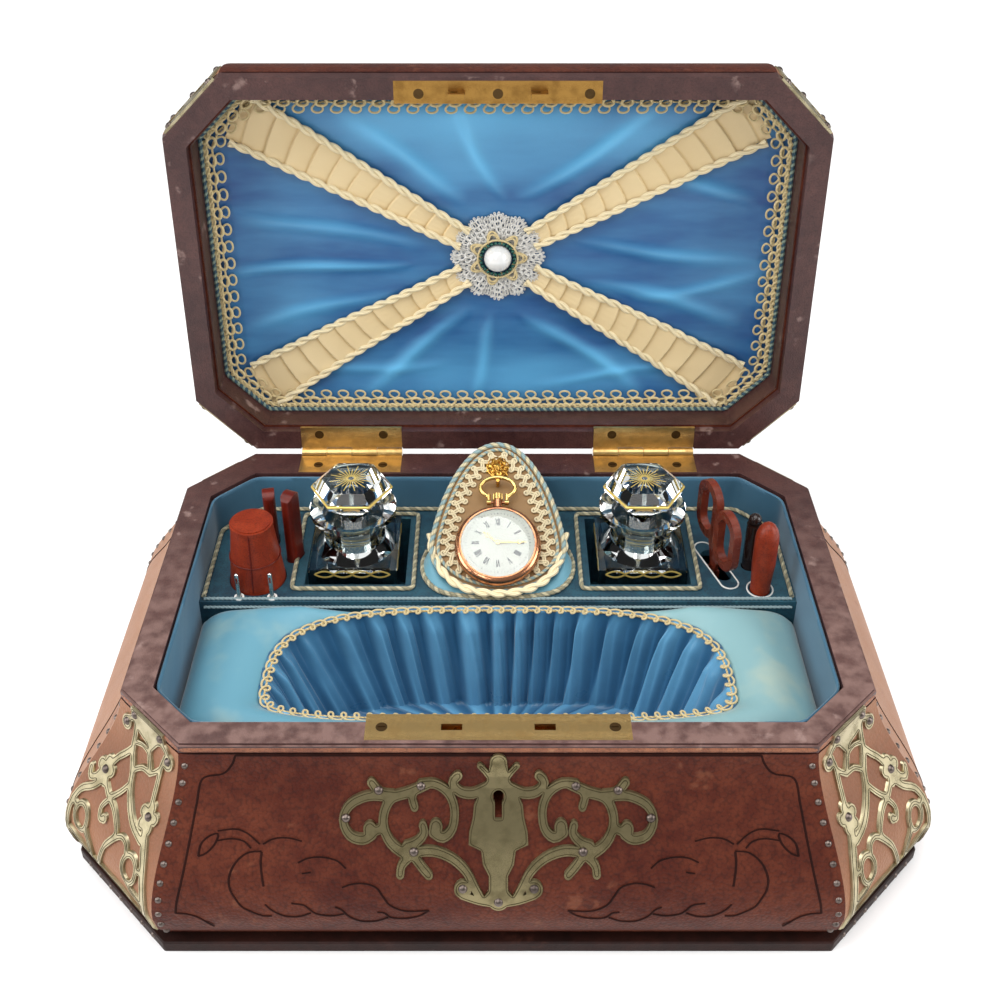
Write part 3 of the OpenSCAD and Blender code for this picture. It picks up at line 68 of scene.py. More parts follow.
# %% [markdown]
# ## Two small classes for materials
# A material is a graph of nodes. Drawing it by hand hides the arithmetic, so Value wraps the output
# of a node and lets the usual signs add a Math node. Finish is the material itself: one method adds
# any node, and a few short ones name what this box needs, such as grain or a mix of two colours.

# %% Shader arithmetic
MM = 0.001


def colour(text):
    """The linear colour of a screen colour written as #rrggbb."""
    screen = np.array([int(text[i:i + 2], 16) / 255 for i in (1, 3, 5)])
    linear = np.where(screen <= 0.04045, screen / 12.92, ((screen + 0.055) / 1.055) ** 2.4)
    return (*linear.tolist(), 1.0)


class Value:
    """The output of a node. Signs between values and numbers add Math nodes."""

    def __init__(self, finish, socket):
        self.finish, self.socket = finish, socket

    def maths(self, operation, first, second):
        return self.finish.node("ShaderNodeMath", {"operation": operation}, {0: first, 1: second})

    def __add__(self, other):
        return self.maths("ADD", self, other)

    def __sub__(self, other):
        return self.maths("SUBTRACT", self, other)

    def __rsub__(self, other):
        return self.maths("SUBTRACT", other, self)

    def __mul__(self, other):
        return self.maths("MULTIPLY", self, other)

    def __pow__(self, other):
        return self.maths("POWER", self, other)

    def __abs__(self):
        return self.maths("ABSOLUTE", self, 0)

    __radd__, __rmul__ = __add__, __mul__


class Finish:
    """A material under construction. Sizes are in millimetres on the object."""

    def __init__(self, name, **fixed):
        self.material = bpy.data.materials.new(name)
        self.material.use_nodes = True
        self.nodes = self.material.node_tree.nodes
        self.links = self.material.node_tree.links
        self.shader = self.nodes["Principled BSDF"]
        for socket, value in fixed.items():
            self.shader.inputs[socket.replace("_", " ")].default_value = value
        self.here = self.node("ShaderNodeTexCoord", output="Object")

    def node(self, kind, settings=None, values=None, output=0):
        """Adds a node, sets its settings first and its sockets after, and returns one output."""
        made = self.nodes.new(kind)
        for setting, value in (settings or {}).items():
            setattr(made, setting, value)
        for socket, value in (values or {}).items():
            self.join(made.inputs[socket], value)
        return Value(self, made.outputs[output])

    def join(self, socket, value):
        if isinstance(value, Value):
            self.links.new(value.socket, socket)
        else:
            socket.default_value = value

    def to(self, name, value):
        """Feeds what changes over the surface into one of the shader's sockets."""
        self.join(self.shader.inputs[name], value)

    def noise(self, size, detail=2.0, stretch=(1, 1, 1)):
        """Soft random patches about size millimetres across, from 0 to 1."""
        place = self.here
        if stretch != (1, 1, 1):
            place = self.node("ShaderNodeMapping", None, {"Vector": place, "Scale": stretch})
        return self.node("ShaderNodeTexNoise", None,
                         {"Vector": place, "Scale": 1 / (size * MM), "Detail": detail})

    def pebbles(self, size):
        """The distance from the nearest cell centre: the pebbled grain of leather."""
        return self.node("ShaderNodeTexVoronoi", None,
                         {"Vector": self.here, "Scale": 1 / (size * MM)})

    def ribs(self, size, axis, warp=0.0):
        """Fine parallel threads, size millimetres apart, along the other axes."""
        return self.node("ShaderNodeTexWave", {"bands_direction": axis},
                         {"Vector": self.here, "Scale": math.pi / 10 / (size * MM),
                          "Distortion": warp, "Detail": 2.0})

    def reads(self, name):
        """A number kept on each vertex of the mesh."""
        return self.node("ShaderNodeAttribute", {"attribute_name": name}, output="Fac")

    def facing(self, axis):
        """How far the surface faces along x, y or z, from -1 to 1."""
        normal = self.node("ShaderNodeTexCoord", output="Normal")
        return self.node("ShaderNodeSeparateXYZ", None, {0: normal}, output="xyz".index(axis))

    def at(self, axis):
        """The x, y or z of the place on the object, in metres."""
        return self.node("ShaderNodeSeparateXYZ", None, {0: self.here}, output="xyz".index(axis))

    def between(self, value, low, high):
        """0 below low, 1 above high, and a smooth step between them."""
        return self.node("ShaderNodeMapRange", {"interpolation_type": "SMOOTHSTEP"},
                         {0: value, 1: low, 2: high})

    def mix(self, first, second, share):
        """Two colours, the second one by its share."""
        first, second = (colour(c) if isinstance(c, str) else c for c in (first, second))
        return self.node("ShaderNodeMix", {"data_type": "RGBA"},
                         {0: share, 6: first, 7: second}, output=2)

    def bump(self, height, depth):
        """Tilts the light by a height from 0 to 1 that stands for depth millimetres."""
        self.to("Normal", self.node("ShaderNodeBump", None,
                                    {"Height": height, "Distance": depth * MM}))
        return self


print("a dark red-brown in linear light is", [round(c, 3) for c in colour("#5e2a1e")])

# %% [markdown]
# ## Leather
# Old bookbinder's leather has a pebbled grain, darker in its pits, and broad patches where hands and
# light have changed it. On this box the front is red-brown, and the walls that face sideways are tan:
# partly faded, partly painted light from the sides, so the direction that a face looks in drives that
# tan. Upward faces towards the front are lightened too: partly rubbed, partly a painted highlight from above.

# %% Leather finishes


def leather(name, dark, light, grain, depth, rough=0.45, shine=0.5, faded_and_side_lit=None, scuff=None, rubbed_and_top_lit=None):
    """Two browns mixed by patches, pits darkened, sideways walls tan (fading and painted side light), upward faces
    near the front lightened (rubbing and painted top light), grain as bump.
    """
    made = Finish(name, Roughness=rough, Specular_IOR_Level=shine)
    patches = 0.6 * made.between(made.noise(34, 4), 0.3, 0.7) + 0.4 * made.between(made.noise(5, 5), 0.4, 0.62)
    pits = made.pebbles(grain)
    skin = made.mix(made.mix(dark, light, patches), "#1d0c0a", 0.4 * made.between(pits, 0.4, 0.9))
    if faded_and_side_lit:
        # Walls that face sideways are mixed towards tan: partly fading, partly painted light from the sides.
        side = made.between(abs(made.facing("x")), 0.35, 0.8) * (0.72 + 0.28 * made.noise(22, 3))
        skin = made.mix(skin, faded_and_side_lit, side)
    if rubbed_and_top_lit:
        # Upward faces towards the front are mixed lighter: partly rubbing by hands, partly a painted highlight from
        # above.
        rubbed_and_top_lit_share = made.between(made.facing("z"), 0.6, 0.95) * made.between(0 - made.at("y"), -0.09, 0.07)
        skin = made.mix(skin, rubbed_and_top_lit, rubbed_and_top_lit_share * (0.25 + 0.9 * made.between(made.noise(6, 5), 0.3, 0.7)))
    if scuff:
        worn = made.between(made.noise(7, 6), 0.6, 0.72) * made.between(made.noise(30, 2), 0.5, 0.6)
        skin = made.mix(skin, scuff, 0.55 * worn)
    made.to("Base Color", skin)
    made.to("Roughness", rough - 0.08 + 0.2 * made.noise(9, 3))
    return made.bump(1 - 0.75 * pits + 0.35 * made.noise(0.5, 2), depth)


wall_leather = leather("wall_leather", "#44190f", "#5e2c1b", 1.15, 0.24, 0.46, 0.16,
                       faded_and_side_lit="#a2765a", scuff="#74442f")
rim_leather = leather("rim_leather", "#3a1f1e", "#50302c", 0.7, 0.09, 0.38, scuff="#a58a82", rubbed_and_top_lit="#7c6059")
plinth_leather = leather("plinth_leather", "#1c0d0a", "#301610", 0.8, 0.07, 0.5, 0.2, scuff="#4a2a20")
edge_leather = leather("edge_leather", "#6e3c27", "#9a6242", 0.6, 0.06, 0.45, scuff="#c09a78")
line_leather = leather("line_leather", "#1c0805", "#2b100a", 0.6, 0.03, 0.7, 0.1)
tray_cloth = leather("tray_cloth", "#16394a", "#275665", 0.5, 0.03, 0.5, scuff="#447f86")
red_leather = leather("red_leather", "#7c2813", "#97371a", 0.5, 0.03, 0.36, 0.3)
deep_red_leather = leather("deep_red_leather", "#54140b", "#742112", 0.5, 0.03, 0.3, 0.3)
loop_leather = leather("loop_leather", "#5e2317", "#7c3623", 0.6, 0.02, 0.25, 0.4)
print("leathers are ready")

# %% [markdown]
# ## Metals, glass and small hard things
# Metal shows its light, not its paint, so the variation goes into roughness and into engraved lines.
# The mounts are pale brass with a greenish tone, the plates are polished and gilt, and the nails
# have gone dark. Glass keeps one clear colour, because only its surface and its bending matter.

# %% Metal finishes


def metal(name, bright, dull, rough, engraved=0.0):
    """Polished metal with tarnish in soft patches and, where wanted, engraved scrolls."""
    made = Finish(name, Metallic=1.0, Roughness=rough)
    tarnish = made.between(made.noise(5, 4), 0.42, 0.72)
    skin = made.mix(bright, dull, 0.6 * tarnish)
    height = made.noise(0.6, 3)
    if engraved:
        bent = made.node("ShaderNodeTexWave", {"wave_type": "RINGS"},
                         {"Vector": made.here, "Scale": 62.0, "Distortion": 5.0, "Detail": 2.0,
                          "Detail Scale": 60.0})
        line = made.between(bent, 0.0, 0.1)
        skin = made.mix(dull, skin, line * 0.6 + 0.4)
        height = line * engraved + 0.1 * height
    made.to("Base Color", skin)
    made.to("Roughness", rough + 0.12 * tarnish)
    return made.bump(height, 0.06)


pale_brass = metal("pale_brass", "#bdb292", "#7b7254", 0.3, engraved=0.5)
olive_brass = metal("olive_brass", "#8f8463", "#514932", 0.34, engraved=0.5)
line_brass = metal("line_brass", "#4d4530", "#2f2919", 0.5)
gilt_brass = metal("gilt_brass", "#d9ac55", "#96692a", 0.24)
plate_brass = metal("plate_brass", "#d8b679", "#a4824e", 0.3, engraved=0.4)
aged_brass = metal("aged_brass", "#ad8445", "#7c5a2c", 0.3, engraved=0.4)
old_screw = metal("old_screw", "#5a452b", "#2c2013", 0.45)
nail_steel = metal("nail_steel", "#6e635d", "#362e2b", 0.3)
silver = metal("silver", "#dcdcda", "#9a9a98", 0.18)
rose_gold = metal("rose_gold", "#c98d68", "#7b4a33", 0.2)
watch_gold = metal("watch_gold", "#e0bf78", "#a07a3c", 0.2)

glass = Finish("glass", Roughness=0.015, IOR=1.5, Transmission_Weight=1.0)
glass.to("Base Color", glass.mix("#fbfdfc", "#f1f7f5", glass.noise(12)))
gilding = Finish("gilding", Metallic=0.55, Roughness=0.4)
gilding.to("Base Color", gilding.mix("#f3dc86", "#d9b455", gilding.noise(3, 3)))
enamel = Finish("enamel", Roughness=0.3, Specular_IOR_Level=0.3)
enamel.to("Base Color", enamel.mix("#dcd9d2", "#d2cfc6", enamel.noise(8)))
ink = Finish("ink", Roughness=0.5)
ink.to("Base Color", ink.mix("#2a2a30", "#44444c", ink.noise(1.5)))
horn = Finish("horn", Roughness=0.22)
horn.to("Base Color", horn.mix("#0d0a0a", "#2a1712", horn.noise(4, 3, (1, 1, 0.2))))
pearl = Finish("pearl", Roughness=0.16, Coat_Weight=0.8, Sheen_Weight=0.3)
pearl.to("Base Color", pearl.mix("#f4efe6", "#dfe3e6", pearl.noise(5, 2)))
card = Finish("card", Roughness=0.85)
card.to("Base Color", card.mix("#8a7350", "#6d5a3e", card.noise(3, 4)))
card.bump(card.noise(0.4, 3), 0.05)
print("metals, glass and enamel are ready")

# %% [markdown]
# ## Silk, ribbon and cord
# Satin looks wet because its long threads lie one way: it gets a low roughness, a sheen, and two
# blues mixed by painted highlights on the folds' crests, painted shade in their hollows and painted
# sheen streaks. Cords are dressed by their own mesh: every vertex knows the strand it belongs to and
# its painted shade, so a two-coloured cord needs no picture.

# %% Cloth finishes


def silk(name, deep, light, rough=0.36, age=None, thread=0.16, painted_sheen_streak=0.0, base=0.18, bloom=0.35):
    """Two blues mixed by soft patches and painted sheen streaks, a painted highlight on crests and painted shade in
    hollows from the mesh, fine threads as bump, and faded spots where wanted.
    """
    made = Finish(name, Roughness=rough, Sheen_Weight=bloom, Sheen_Roughness=0.35)
    # Painted sheen: noise stretched along the threads lightens and darkens the satin in streaks, as its sheen
    # would.
    skin = made.mix(deep, light, base + 0.4 * made.noise(40, 2, (1, 0.6, 1))
                    + painted_sheen_streak * (made.noise(9, 3, (0.22, 1, 1)) - 0.5))
    # Painted highlight and painted shade: attributes of the mesh mix the satin towards the light and the deep blue.
    skin = made.mix(skin, light, made.reads("crest_and_painted_highlight"))
    skin = made.mix(skin, deep, made.reads("hollow"))
    if age:
        skin = made.mix(skin, age, 0.75 * made.between(made.noise(30, 3), 0.5, 0.66))
    weave = made.ribs(thread, "X", 1.5) * 0.5 + 0.5 * made.noise(0.35, 2, (1, 0.15, 1))
    made.to("Base Color", made.mix(skin, deep, 0.25 * weave))
    made.to("Roughness", rough - 0.05 + 0.14 * made.noise(14, 3))
    return made.bump(weave, 0.03)


lid_satin = silk("lid_satin", "#04427f", "#6cc2f0", 0.3, painted_sheen_streak=0.5, base=-0.04, bloom=0.08)
well_satin = silk("well_satin", "#1b4c72", "#74b6dc", 0.28, painted_sheen_streak=0.3)
wall_silk = silk("wall_silk", "#3c5d74", "#4f8aa6", 0.5)
left_silk = silk("left_silk", "#5690a6", "#7aaebb", 0.5, age="#94b2b0")
right_silk = silk("right_silk", "#74a0a8", "#9bbab6", 0.5, age="#aebaa8")
piping_silk = silk("piping_silk", "#3a7f9e", "#5fa0bb", 0.45)
cream_silk = silk("cream_silk", "#866338", "#a3804e", 0.5)
ribbon_silk = silk("ribbon_silk", "#d2b581", "#fdecc2", 0.5)


def cord(name, first, second, dark, rough=0.6, threads=9.0):
    """A cord: two colours by strand, fine threads that follow the cord's own length, and painted shade on its
    underside and between strands.
    """
    made = Finish(name, Roughness=rough, Sheen_Weight=0.3)
    strand = made.mix(first, second, made.between(made.reads("strand"), 0.4, 0.6))
    fine = made.node("ShaderNodeMath", {"operation": "SINE"},
                     {0: made.reads("turn") * (2 * math.pi * threads)})
    # Painted shade: the underside and the grooves between strands are mixed towards the dark colour.
    painted_shade_mix = made.between(made.reads("hollow"), 0.15, 0.95)
    made.to("Base Color", made.mix(made.mix(strand, dark, 0.22 + 0.18 * fine), dark, 0.6 * painted_shade_mix))
    return made.bump(fine, 0.05)


cream_cord = cord("cream_cord", "#fdeec4", "#f5e2b0", "#94733f")
teal_cord = cord("teal_cord", "#1f4f62", "#93a795", "#10222c")
tray_cord = cord("tray_cord", "#cfc39c", "#9c9270", "#3f4a48")
gold_gimp = cord("gold_gimp", "#efd9a0", "#e2c684", "#6f5228", 0.5)
silver_blue_cord = cord("silver_blue_cord", "#9fb6b8", "#7f9ea4", "#35596a")
stand_cord = cord("stand_cord", "#e0d3ac", "#8fb0b4", "#6d6a50")
white_thread = cord("white_thread", "#fbf9f4", "#f4f0e8", "#d8d2c6", 0.8)
green_bead = Finish("green_bead", Roughness=0.2, Metallic=0.3)
green_bead.to("Base Color", green_bead.mix("#123c36", "#2a6a5c", green_bead.noise(2)))
print("silks and cords are ready")

# %% [markdown]
# ## Meshes from grids
# Almost every new piece is a grid of points: rows along its length, columns round it. One function
# joins a grid's neighbours into quads, another puts points and faces into a mesh object, gives it
# its finish and lets it ride on a body of the model. Closed pieces get their normals recalculated,
# so that every face looks outwards.

# %% Grids and pieces

def grid_faces(rows, cols, loop_rows=False, loop_cols=False):
    """Quads between neighbours of a rows x cols grid, joined end to start where it loops."""
    i = np.arange(rows if loop_rows else rows - 1)[:, None]
    j = np.arange(cols if loop_cols else cols - 1)[None, :]
    near, far = (i % rows) * cols, ((i + 1) % rows) * cols
    left, right = j % cols, (j + 1) % cols
    return np.stack([near + left, near + right, far + right, far + left], -1).reshape(-1, 4).tolist()


def join_parts(parts):
    """Several (points, faces, values) made one, with the faces' numbers moved along."""
    points, faces, first = [], [], 0
    names = sorted({name for part in parts for name in part[2]})
    values = {name: [] for name in names}
    for part in parts:
        points.append(part[0].reshape(-1, 3))
        faces += [[v + first for v in face] for face in part[1]]
        for name in names:
            values[name].append(np.ravel(part[2].get(name, np.zeros(len(points[-1])))))
        first += len(points[-1])
    return np.vstack(points), faces, {name: np.concatenate(kept) for name, kept in values.items()}


def piece(name, part, finish, body, instead_of=(), closed=True, angle=60, where=None):
    """A mesh object from points in millimetres. where turns each point to its place on the box."""
    points, faces, values = part
    points = points.reshape(-1, 3)
    mesh = bpy.data.meshes.new(name)
    mesh.from_pydata(((where(points) if where else points) * MM).tolist(), [], faces)
    for key, value in values.items():
        layer = mesh.attributes.new(key, "FLOAT", "POINT")
        layer.data.foreach_set("value", np.ravel(value).astype(np.float32))
    return finish_piece(name, mesh, finish, body, instead_of, closed, angle)


def finish_piece(name, mesh, finish, body, instead_of, closed, angle):
    """Smooth shading up to an angle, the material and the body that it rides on."""
    if closed:
        work = bmesh.new()
        work.from_mesh(mesh)
        bmesh.ops.recalc_face_normals(work, faces=work.faces)
        work.to_mesh(mesh)
        work.free()
    mesh.shade_smooth()
    mesh.set_sharp_from_angle(angle=math.radians(angle))
    mesh.materials.append(finish.material)
    made = bpy.data.objects.new(name, mesh)
    bpy.context.scene.collection.objects.link(made)
    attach(made, body)
    if instead_of:
        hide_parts(*instead_of)
    return made


def smooth_copy(node, finish, angle=32, bevel=0.0, segments=2):
    """A CAD node's own shape with its triangles merged, so that its curves shade as curves."""
    source = frame["nodes"][node]
    mesh = source.data.copy()
    work = bmesh.new()
    work.from_mesh(mesh)
    bmesh.ops.remove_doubles(work, verts=work.verts, dist=2e-6)
    if bevel:
        bmesh.ops.dissolve_limit(work, angle_limit=0.01, verts=work.verts, edges=work.edges)
    work.to_mesh(mesh)
    work.free()
    mesh.materials.clear()
    if mesh.has_custom_normals:
        mesh.attributes.remove(mesh.attributes["custom_normal"])
    made = finish_piece(node + "_dressed", mesh, finish, source["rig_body"], [node], False, angle)
    if bevel:
        rounding = made.modifiers.new("rounding", "BEVEL")
        rounding.width, rounding.segments = bevel * MM, segments
        rounding.limit_method, rounding.angle_limit = "ANGLE", math.radians(angle)
    return made


print("grids ready:", len(grid_faces(3, 4, loop_cols=True)), "faces in a test tube")

# %% [markdown]
# ## Paths and cords
# A cord is a circle carried along a path. The path is walked in equal steps, so that a twist keeps
# its pitch. At each step the cord has three directions: forward, sideways along the surface that it
# lies on, and lift, away from that surface. A twisted cord swells where a strand passes, and the
# swelling turns once in a pitch. A braid is two such cords wound round each other.

# %% Paths


def evenly(points, step, closed=False):
    """The same line walked in equal steps of about step millimetres."""
    points = np.asarray(points, float)
    line = np.vstack([points, points[:1]]) if closed else points
    run = np.concatenate([[0], np.cumsum(np.linalg.norm(np.diff(line, axis=0), axis=1))])
    count = max(int(round(run[-1] / step)), 8)
    at = np.linspace(0, run[-1], count if closed else count + 1, endpoint=not closed)
    return np.stack([np.interp(at, run, line[:, k]) for k in range(3)], 1)


def softened(line, rounds, closed=False):
    """A line with its corners eased: each point moves to the mean of itself and its neighbours."""
    for _ in range(rounds):
        eased = (np.roll(line, 1, 0) + 2 * line + np.roll(line, -1, 0)) / 4
        if not closed:
            eased[0], eased[-1] = line[0], line[-1]
        line = eased
    return line


def curve(points, step, closed=False):
    """A smooth line through the given points: a Catmull-Rom curve, walked in equal steps."""
    p = np.asarray(points, float)
    p = np.column_stack([p, np.zeros(len(p))]) if p.shape[1] == 2 else p
    ends = p[[-1]] if closed else 2 * p[:1] - p[1:2]
    tail = p[:2] if closed else 2 * p[-1:] - p[-2:-1]
    q = np.vstack([ends, p, tail])
    t = np.linspace(0, 1, 16, endpoint=False)[None, :, None]
    a, b, c, d = (q[k:len(q) - 3 + k, None, :] for k in range(4))
    line = 0.5 * (2 * b + (c - a) * t + (2 * a - 5 * b + 4 * c - d) * t ** 2
                  + (3 * b - a - 3 * c + d) * t ** 3)
    line = line.reshape(-1, 3)
    return evenly(line if closed else np.vstack([line, p[-1:]]), step, closed)


def unit(vectors):
    return vectors / np.maximum(np.linalg.norm(vectors, axis=-1, keepdims=True), 1e-9)


def directions(line, up=(0, 0, 1), closed=False):
    """Forward is the difference of a point's neighbours; side is up x forward; lift is square to both."""
    ahead = np.roll(line, -1, 0) - np.roll(line, 1, 0)
    if not closed:
        ahead[0], ahead[-1] = line[1] - line[0], line[-1] - line[-2]
    forward = unit(ahead)
    side = unit(np.cross(np.broadcast_to(np.asarray(up, float), line.shape), forward))
    return forward, side, np.cross(forward, side)


def run_of(line):
    """The distance walked at each point of a line."""
    return np.concatenate([[0], np.cumsum(np.linalg.norm(np.diff(line, axis=0), axis=1))])


# %% Cords


def tube(line, radius, sides=8, closed=False, up=(0, 0, 1), strands=0, pitch=6.0, flat=1.0):
    """Rings side cos a + lift sin a about each point; flat squeezes the lift. With strands, the
    radius is 0.8 + 0.2 |cos(strands (a - twist) / 2)| of the full one, twist turning once in pitch.
    The vertices keep the strand, the turn round the cord and a painted shade: on the side that lies against the
    surface, and in the grooves between strands."""
    forward, side, lift = directions(line, up, closed)
    run = run_of(line)
    turn = np.linspace(0, 1, sides, endpoint=False)[None, :] * np.ones((len(line), 1))
    width = np.broadcast_to(np.asarray(radius, float).reshape(-1, 1), turn.shape)
    strand = np.zeros_like(turn)
    # Painted shade: the side of the tube that lies against its surface is marked darker.
    hollow = np.clip(-0.1 - np.sin(2 * math.pi * turn), 0, 1) * 0.8
    if strands:
        whole = run[-1] + (np.linalg.norm(line[0] - line[-1]) if closed else 0)
        turns = max(round(whole / pitch), 1)
        twist = turn - (turns * run / whole)[:, None]
        crest_and_painted_highlight = np.abs(np.cos(math.pi * strands * twist))
        width = width * (0.78 + 0.22 * crest_and_painted_highlight)
        strand = np.floor((twist % 1) * strands + 0.5) % 2
        # Painted shade also in the grooves between the strands.
        hollow = np.maximum(1 - crest_and_painted_highlight, hollow)
    a = 2 * math.pi * turn
    points = (line[:, None] + side[:, None] * (width * np.cos(a))[..., None]
              + lift[:, None] * (flat * width * np.sin(a))[..., None])
    faces = grid_faces(len(line), sides, closed, True)
    if not closed:
        last = (len(line) - 1) * sides
        faces += [list(range(sides))[::-1], list(range(last, last + sides))]
    return points.reshape(-1, 3), faces, {"strand": strand, "turn": turn, "hollow": hollow}


def braid(line, radius, pitch, up=(0, 0, 1), closed=False, sides=8, gap=0.9):
    """Two cords wound round each other: each keeps gap radii from the line and turns in a pitch."""
    forward, side, lift = directions(line, up, closed)
    run = run_of(line)
    whole = run[-1] + (np.linalg.norm(line[0] - line[-1]) if closed else 0)
    a = 2 * math.pi * max(round(whole / pitch), 1) * run / whole
    parts = []
    for start in (0.0, math.pi):
        off = (side * np.cos(a + start)[:, None] + 0.6 * lift * np.sin(a + start)[:, None])
        parts.append(tube(line + off * radius * gap, radius, sides, closed, up))
    return join_parts(parts)


def looped(line, pitch, reach, swing, up=(0, 0, 1), closed=True, omega=False, rise=0.25, fine=22):
    """Gimp: a cord that swings across a line. Sideways it goes as reach cos a, and along the line
    it runs back by swing sin a, or by swing sin 2a for the round-ended loops of the stand."""
    run = run_of(line)
    whole = run[-1] + (np.linalg.norm(line[0] - line[-1]) if closed else 0)
    loops = max(round(whole / pitch), 1)
    at = np.linspace(0, 1, loops * fine, endpoint=False)
    a = 2 * math.pi * loops * at
    shift = swing * np.sin(2 * a if omega else a)
    place = (at * whole - shift) % whole if closed else np.clip(at * whole - shift, 0, whole)
    ring = np.vstack([line, line[:1]]) if closed else line
    steps = np.append(run, whole) if closed else run
    forward, side, lift = directions(line, up, closed)
    side = np.vstack([side, side[:1]]) if closed else side
    lift = np.vstack([lift, lift[:1]]) if closed else lift
    pick = [np.stack([np.interp(place, steps, v[:, k]) for k in range(3)], 1)
            for v in (ring, side, lift)]
    return (pick[0] + pick[1] * (reach * np.cos(a))[:, None]
            + pick[2] * (rise * np.sin(a))[:, None])


def lathe(profile, centre=(0, 0), sides=64, wobble=None):
    """A profile of (radius, height) turned about an upright axis; poles close on one point each."""
    profile = np.asarray(profile, float)
    a = np.linspace(0, 2 * math.pi, sides, endpoint=False)
    radius = profile[:, :1] * (1 + (wobble(a) if wobble else 0 * a))
    points = np.stack([centre[0] + radius * np.cos(a), centre[1] + radius * np.sin(a),
                       np.broadcast_to(profile[:, 1:], radius.shape)], -1).reshape(-1, 3)
    faces = grid_faces(len(profile), sides, False, True)
    last = (len(profile) - 1) * sides
    faces += [list(range(sides))[::-1], list(range(last, last + sides))]
    return points, faces, {}


print("a cord 100 mm long has", len(tube(evenly([[0, 0, 0], [100, 0, 0]], 1), 1)[0]), "points")

# %% [markdown]
# ## The box's own shape
# The trimmings have to lie on the box, so its outline is needed here too: an oblong with cut
# corners, grown or shrunk by a distance, and walls that swell from the rim to a bulge near the foot.
# The lid is worked out shut and then turned back on its hinges, and what belongs to the watch stand
# is worked out flat and then leaned back.

# %% Outlines and places
HALF_WIDTH, HALF_DEPTH, CORNER = 130.0, 82.0, 24.0
RIM_TOP, BULGE = 78.0, 21.0
INNER_X, INNER_FRONT, INNER_BACK, INNER_CORNER = 119.5, 72.6, 67.4, 15.5
LID_FOOT = 78.3
HINGE = np.array([0, 83.9, 78.15])
LID_TURN = math.radians(-94)
STAND_FOOT = np.array([0, 11.5, 62.5])
STAND_LEAN = math.radians(26)
OVAL_Y = -41.5


def octagon(w, front, back, c):
    """The eight corners of an oblong with cut corners, counter-clockwise from the front left."""
    return np.array([[c - w, -front], [w - c, -front], [w, c - front], [w, back - c],
                     [w - c, back], [c - w, back], [-w, back - c], [-w, c - front]])


def rim_octagon(out):
    return octagon(HALF_WIDTH + out, HALF_DEPTH + out, HALF_DEPTH + out,
                   CORNER + out * (2 - math.sqrt(2)))


def inner_octagon(out):
    return octagon(INNER_X + out, INNER_FRONT + out, INNER_BACK + out,
                   INNER_CORNER + out * (2 - math.sqrt(2)))


def at_height(flat_points, z):
    return np.column_stack([flat_points, np.zeros(len(flat_points)) + z])


def wall_out(z):
    """How far the wall stands out from the rim's outline: an ogee above the bulge, a curve below."""
    z = np.asarray(z, float)
    upper = 2 + 13 * (1 - np.cos(math.pi * (RIM_TOP - z) / (RIM_TOP - BULGE)))
    return np.where(z >= BULGE, upper, 28 - 5.5 * ((BULGE - z) / 14.5) ** 2)


def turned(points, centre, angle):
    """Points turned about an axis along x through a centre."""
    y, z = points[:, 1] - centre[1], points[:, 2] - centre[2]
    return np.column_stack([points[:, 0], centre[1] + y * math.cos(angle) - z * math.sin(angle),
                            centre[2] + y * math.sin(angle) + z * math.cos(angle)])


def on_lid(points):
    """Points drawn on the shut lid, with z counted from its foot, moved to the open lid."""
    return turned(points + np.array([0, 0, LID_FOOT]), HINGE, LID_TURN)


def on_stand(points):
    """Points drawn flat (across, up the board, off the board), leaned back on the stand."""
    return turned(points + STAND_FOOT, STAND_FOOT, STAND_LEAN)


def lid_reach(angle, out=-9.6):
    """How far a ray from the lid's centre runs before it meets the outline."""
    c, s = np.abs(np.cos(angle)), np.abs(np.sin(angle))
    diagonal = (HALF_WIDTH + HALF_DEPTH - CORNER) + out * math.sqrt(2)
    return np.minimum(np.minimum((HALF_WIDTH + out) / np.maximum(c, 1e-6),
                                 (HALF_DEPTH + out) / np.maximum(s, 1e-6)), diagonal / (c + s))


def lining_at(x, y):
    """The depth of the lid's padded satin: it rises from its edge and is tied down in the middle."""
    r = np.hypot(x, y)
    t = (lid_reach(np.arctan2(y, x)) - r) * 0.8
    return 17 + 5.4 * (1 - np.exp(-np.maximum(t, 0) / 9)) + 1.6 * np.exp(-(r / 16) ** 2)


def well_oval(angle, out=0.0):
    """The well's outline, a squared oval, the back half deeper than the front one."""
    c, s = np.cos(angle), np.sin(angle)
    back = s >= 0
    n = np.where(back, 3.3, 4.0)
    deep = np.where(back, 41.5, 13.5) + out
    return np.stack([(84.5 + out) * np.sign(c) * np.abs(c) ** (2 / n),
                     OVAL_Y + deep * np.sign(s) * np.abs(s) ** (2 / n)], -1)


print("the wall bulges", round(float(wall_out(BULGE)), 1), "mm beyond the rim")

# %% [markdown]
# ## The leather box
# The walls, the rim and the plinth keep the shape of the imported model. Its curved walls come as
# flat strips of triangles, so each node is copied, its triangles are merged and its curves shaded
# as one surface, with the mitres left sharp. A small bevel softens the edges where leather is
# folded over wood.

# %% Walls, rims and plinth
for node, finish, slot, bevel in (
        ("body_carcass", wall_leather, "leather", 0.0), ("lid_shell", wall_leather, "leather", 0.0),
        ("body_rim", rim_leather, "rim_leather", 0.45), ("lid_rim", rim_leather, "rim_leather", 0.45),
        ("base_plinth", plinth_leather, "plinth_leather", 0.5)):
    made = smooth_copy(node, finish, 26, bevel)
    print(made.name, len(made.data.polygons), "faces")

# %% [markdown]
# The turned edge of the wall leather shows as a bright line under the rim. The pressed lines were
# made with a hot tool: thin dark lines that lie on the wall. Each is drawn flat, as x and height,
# and the wall's own formula gives its depth. The lines on the hidden back repeat the front's.

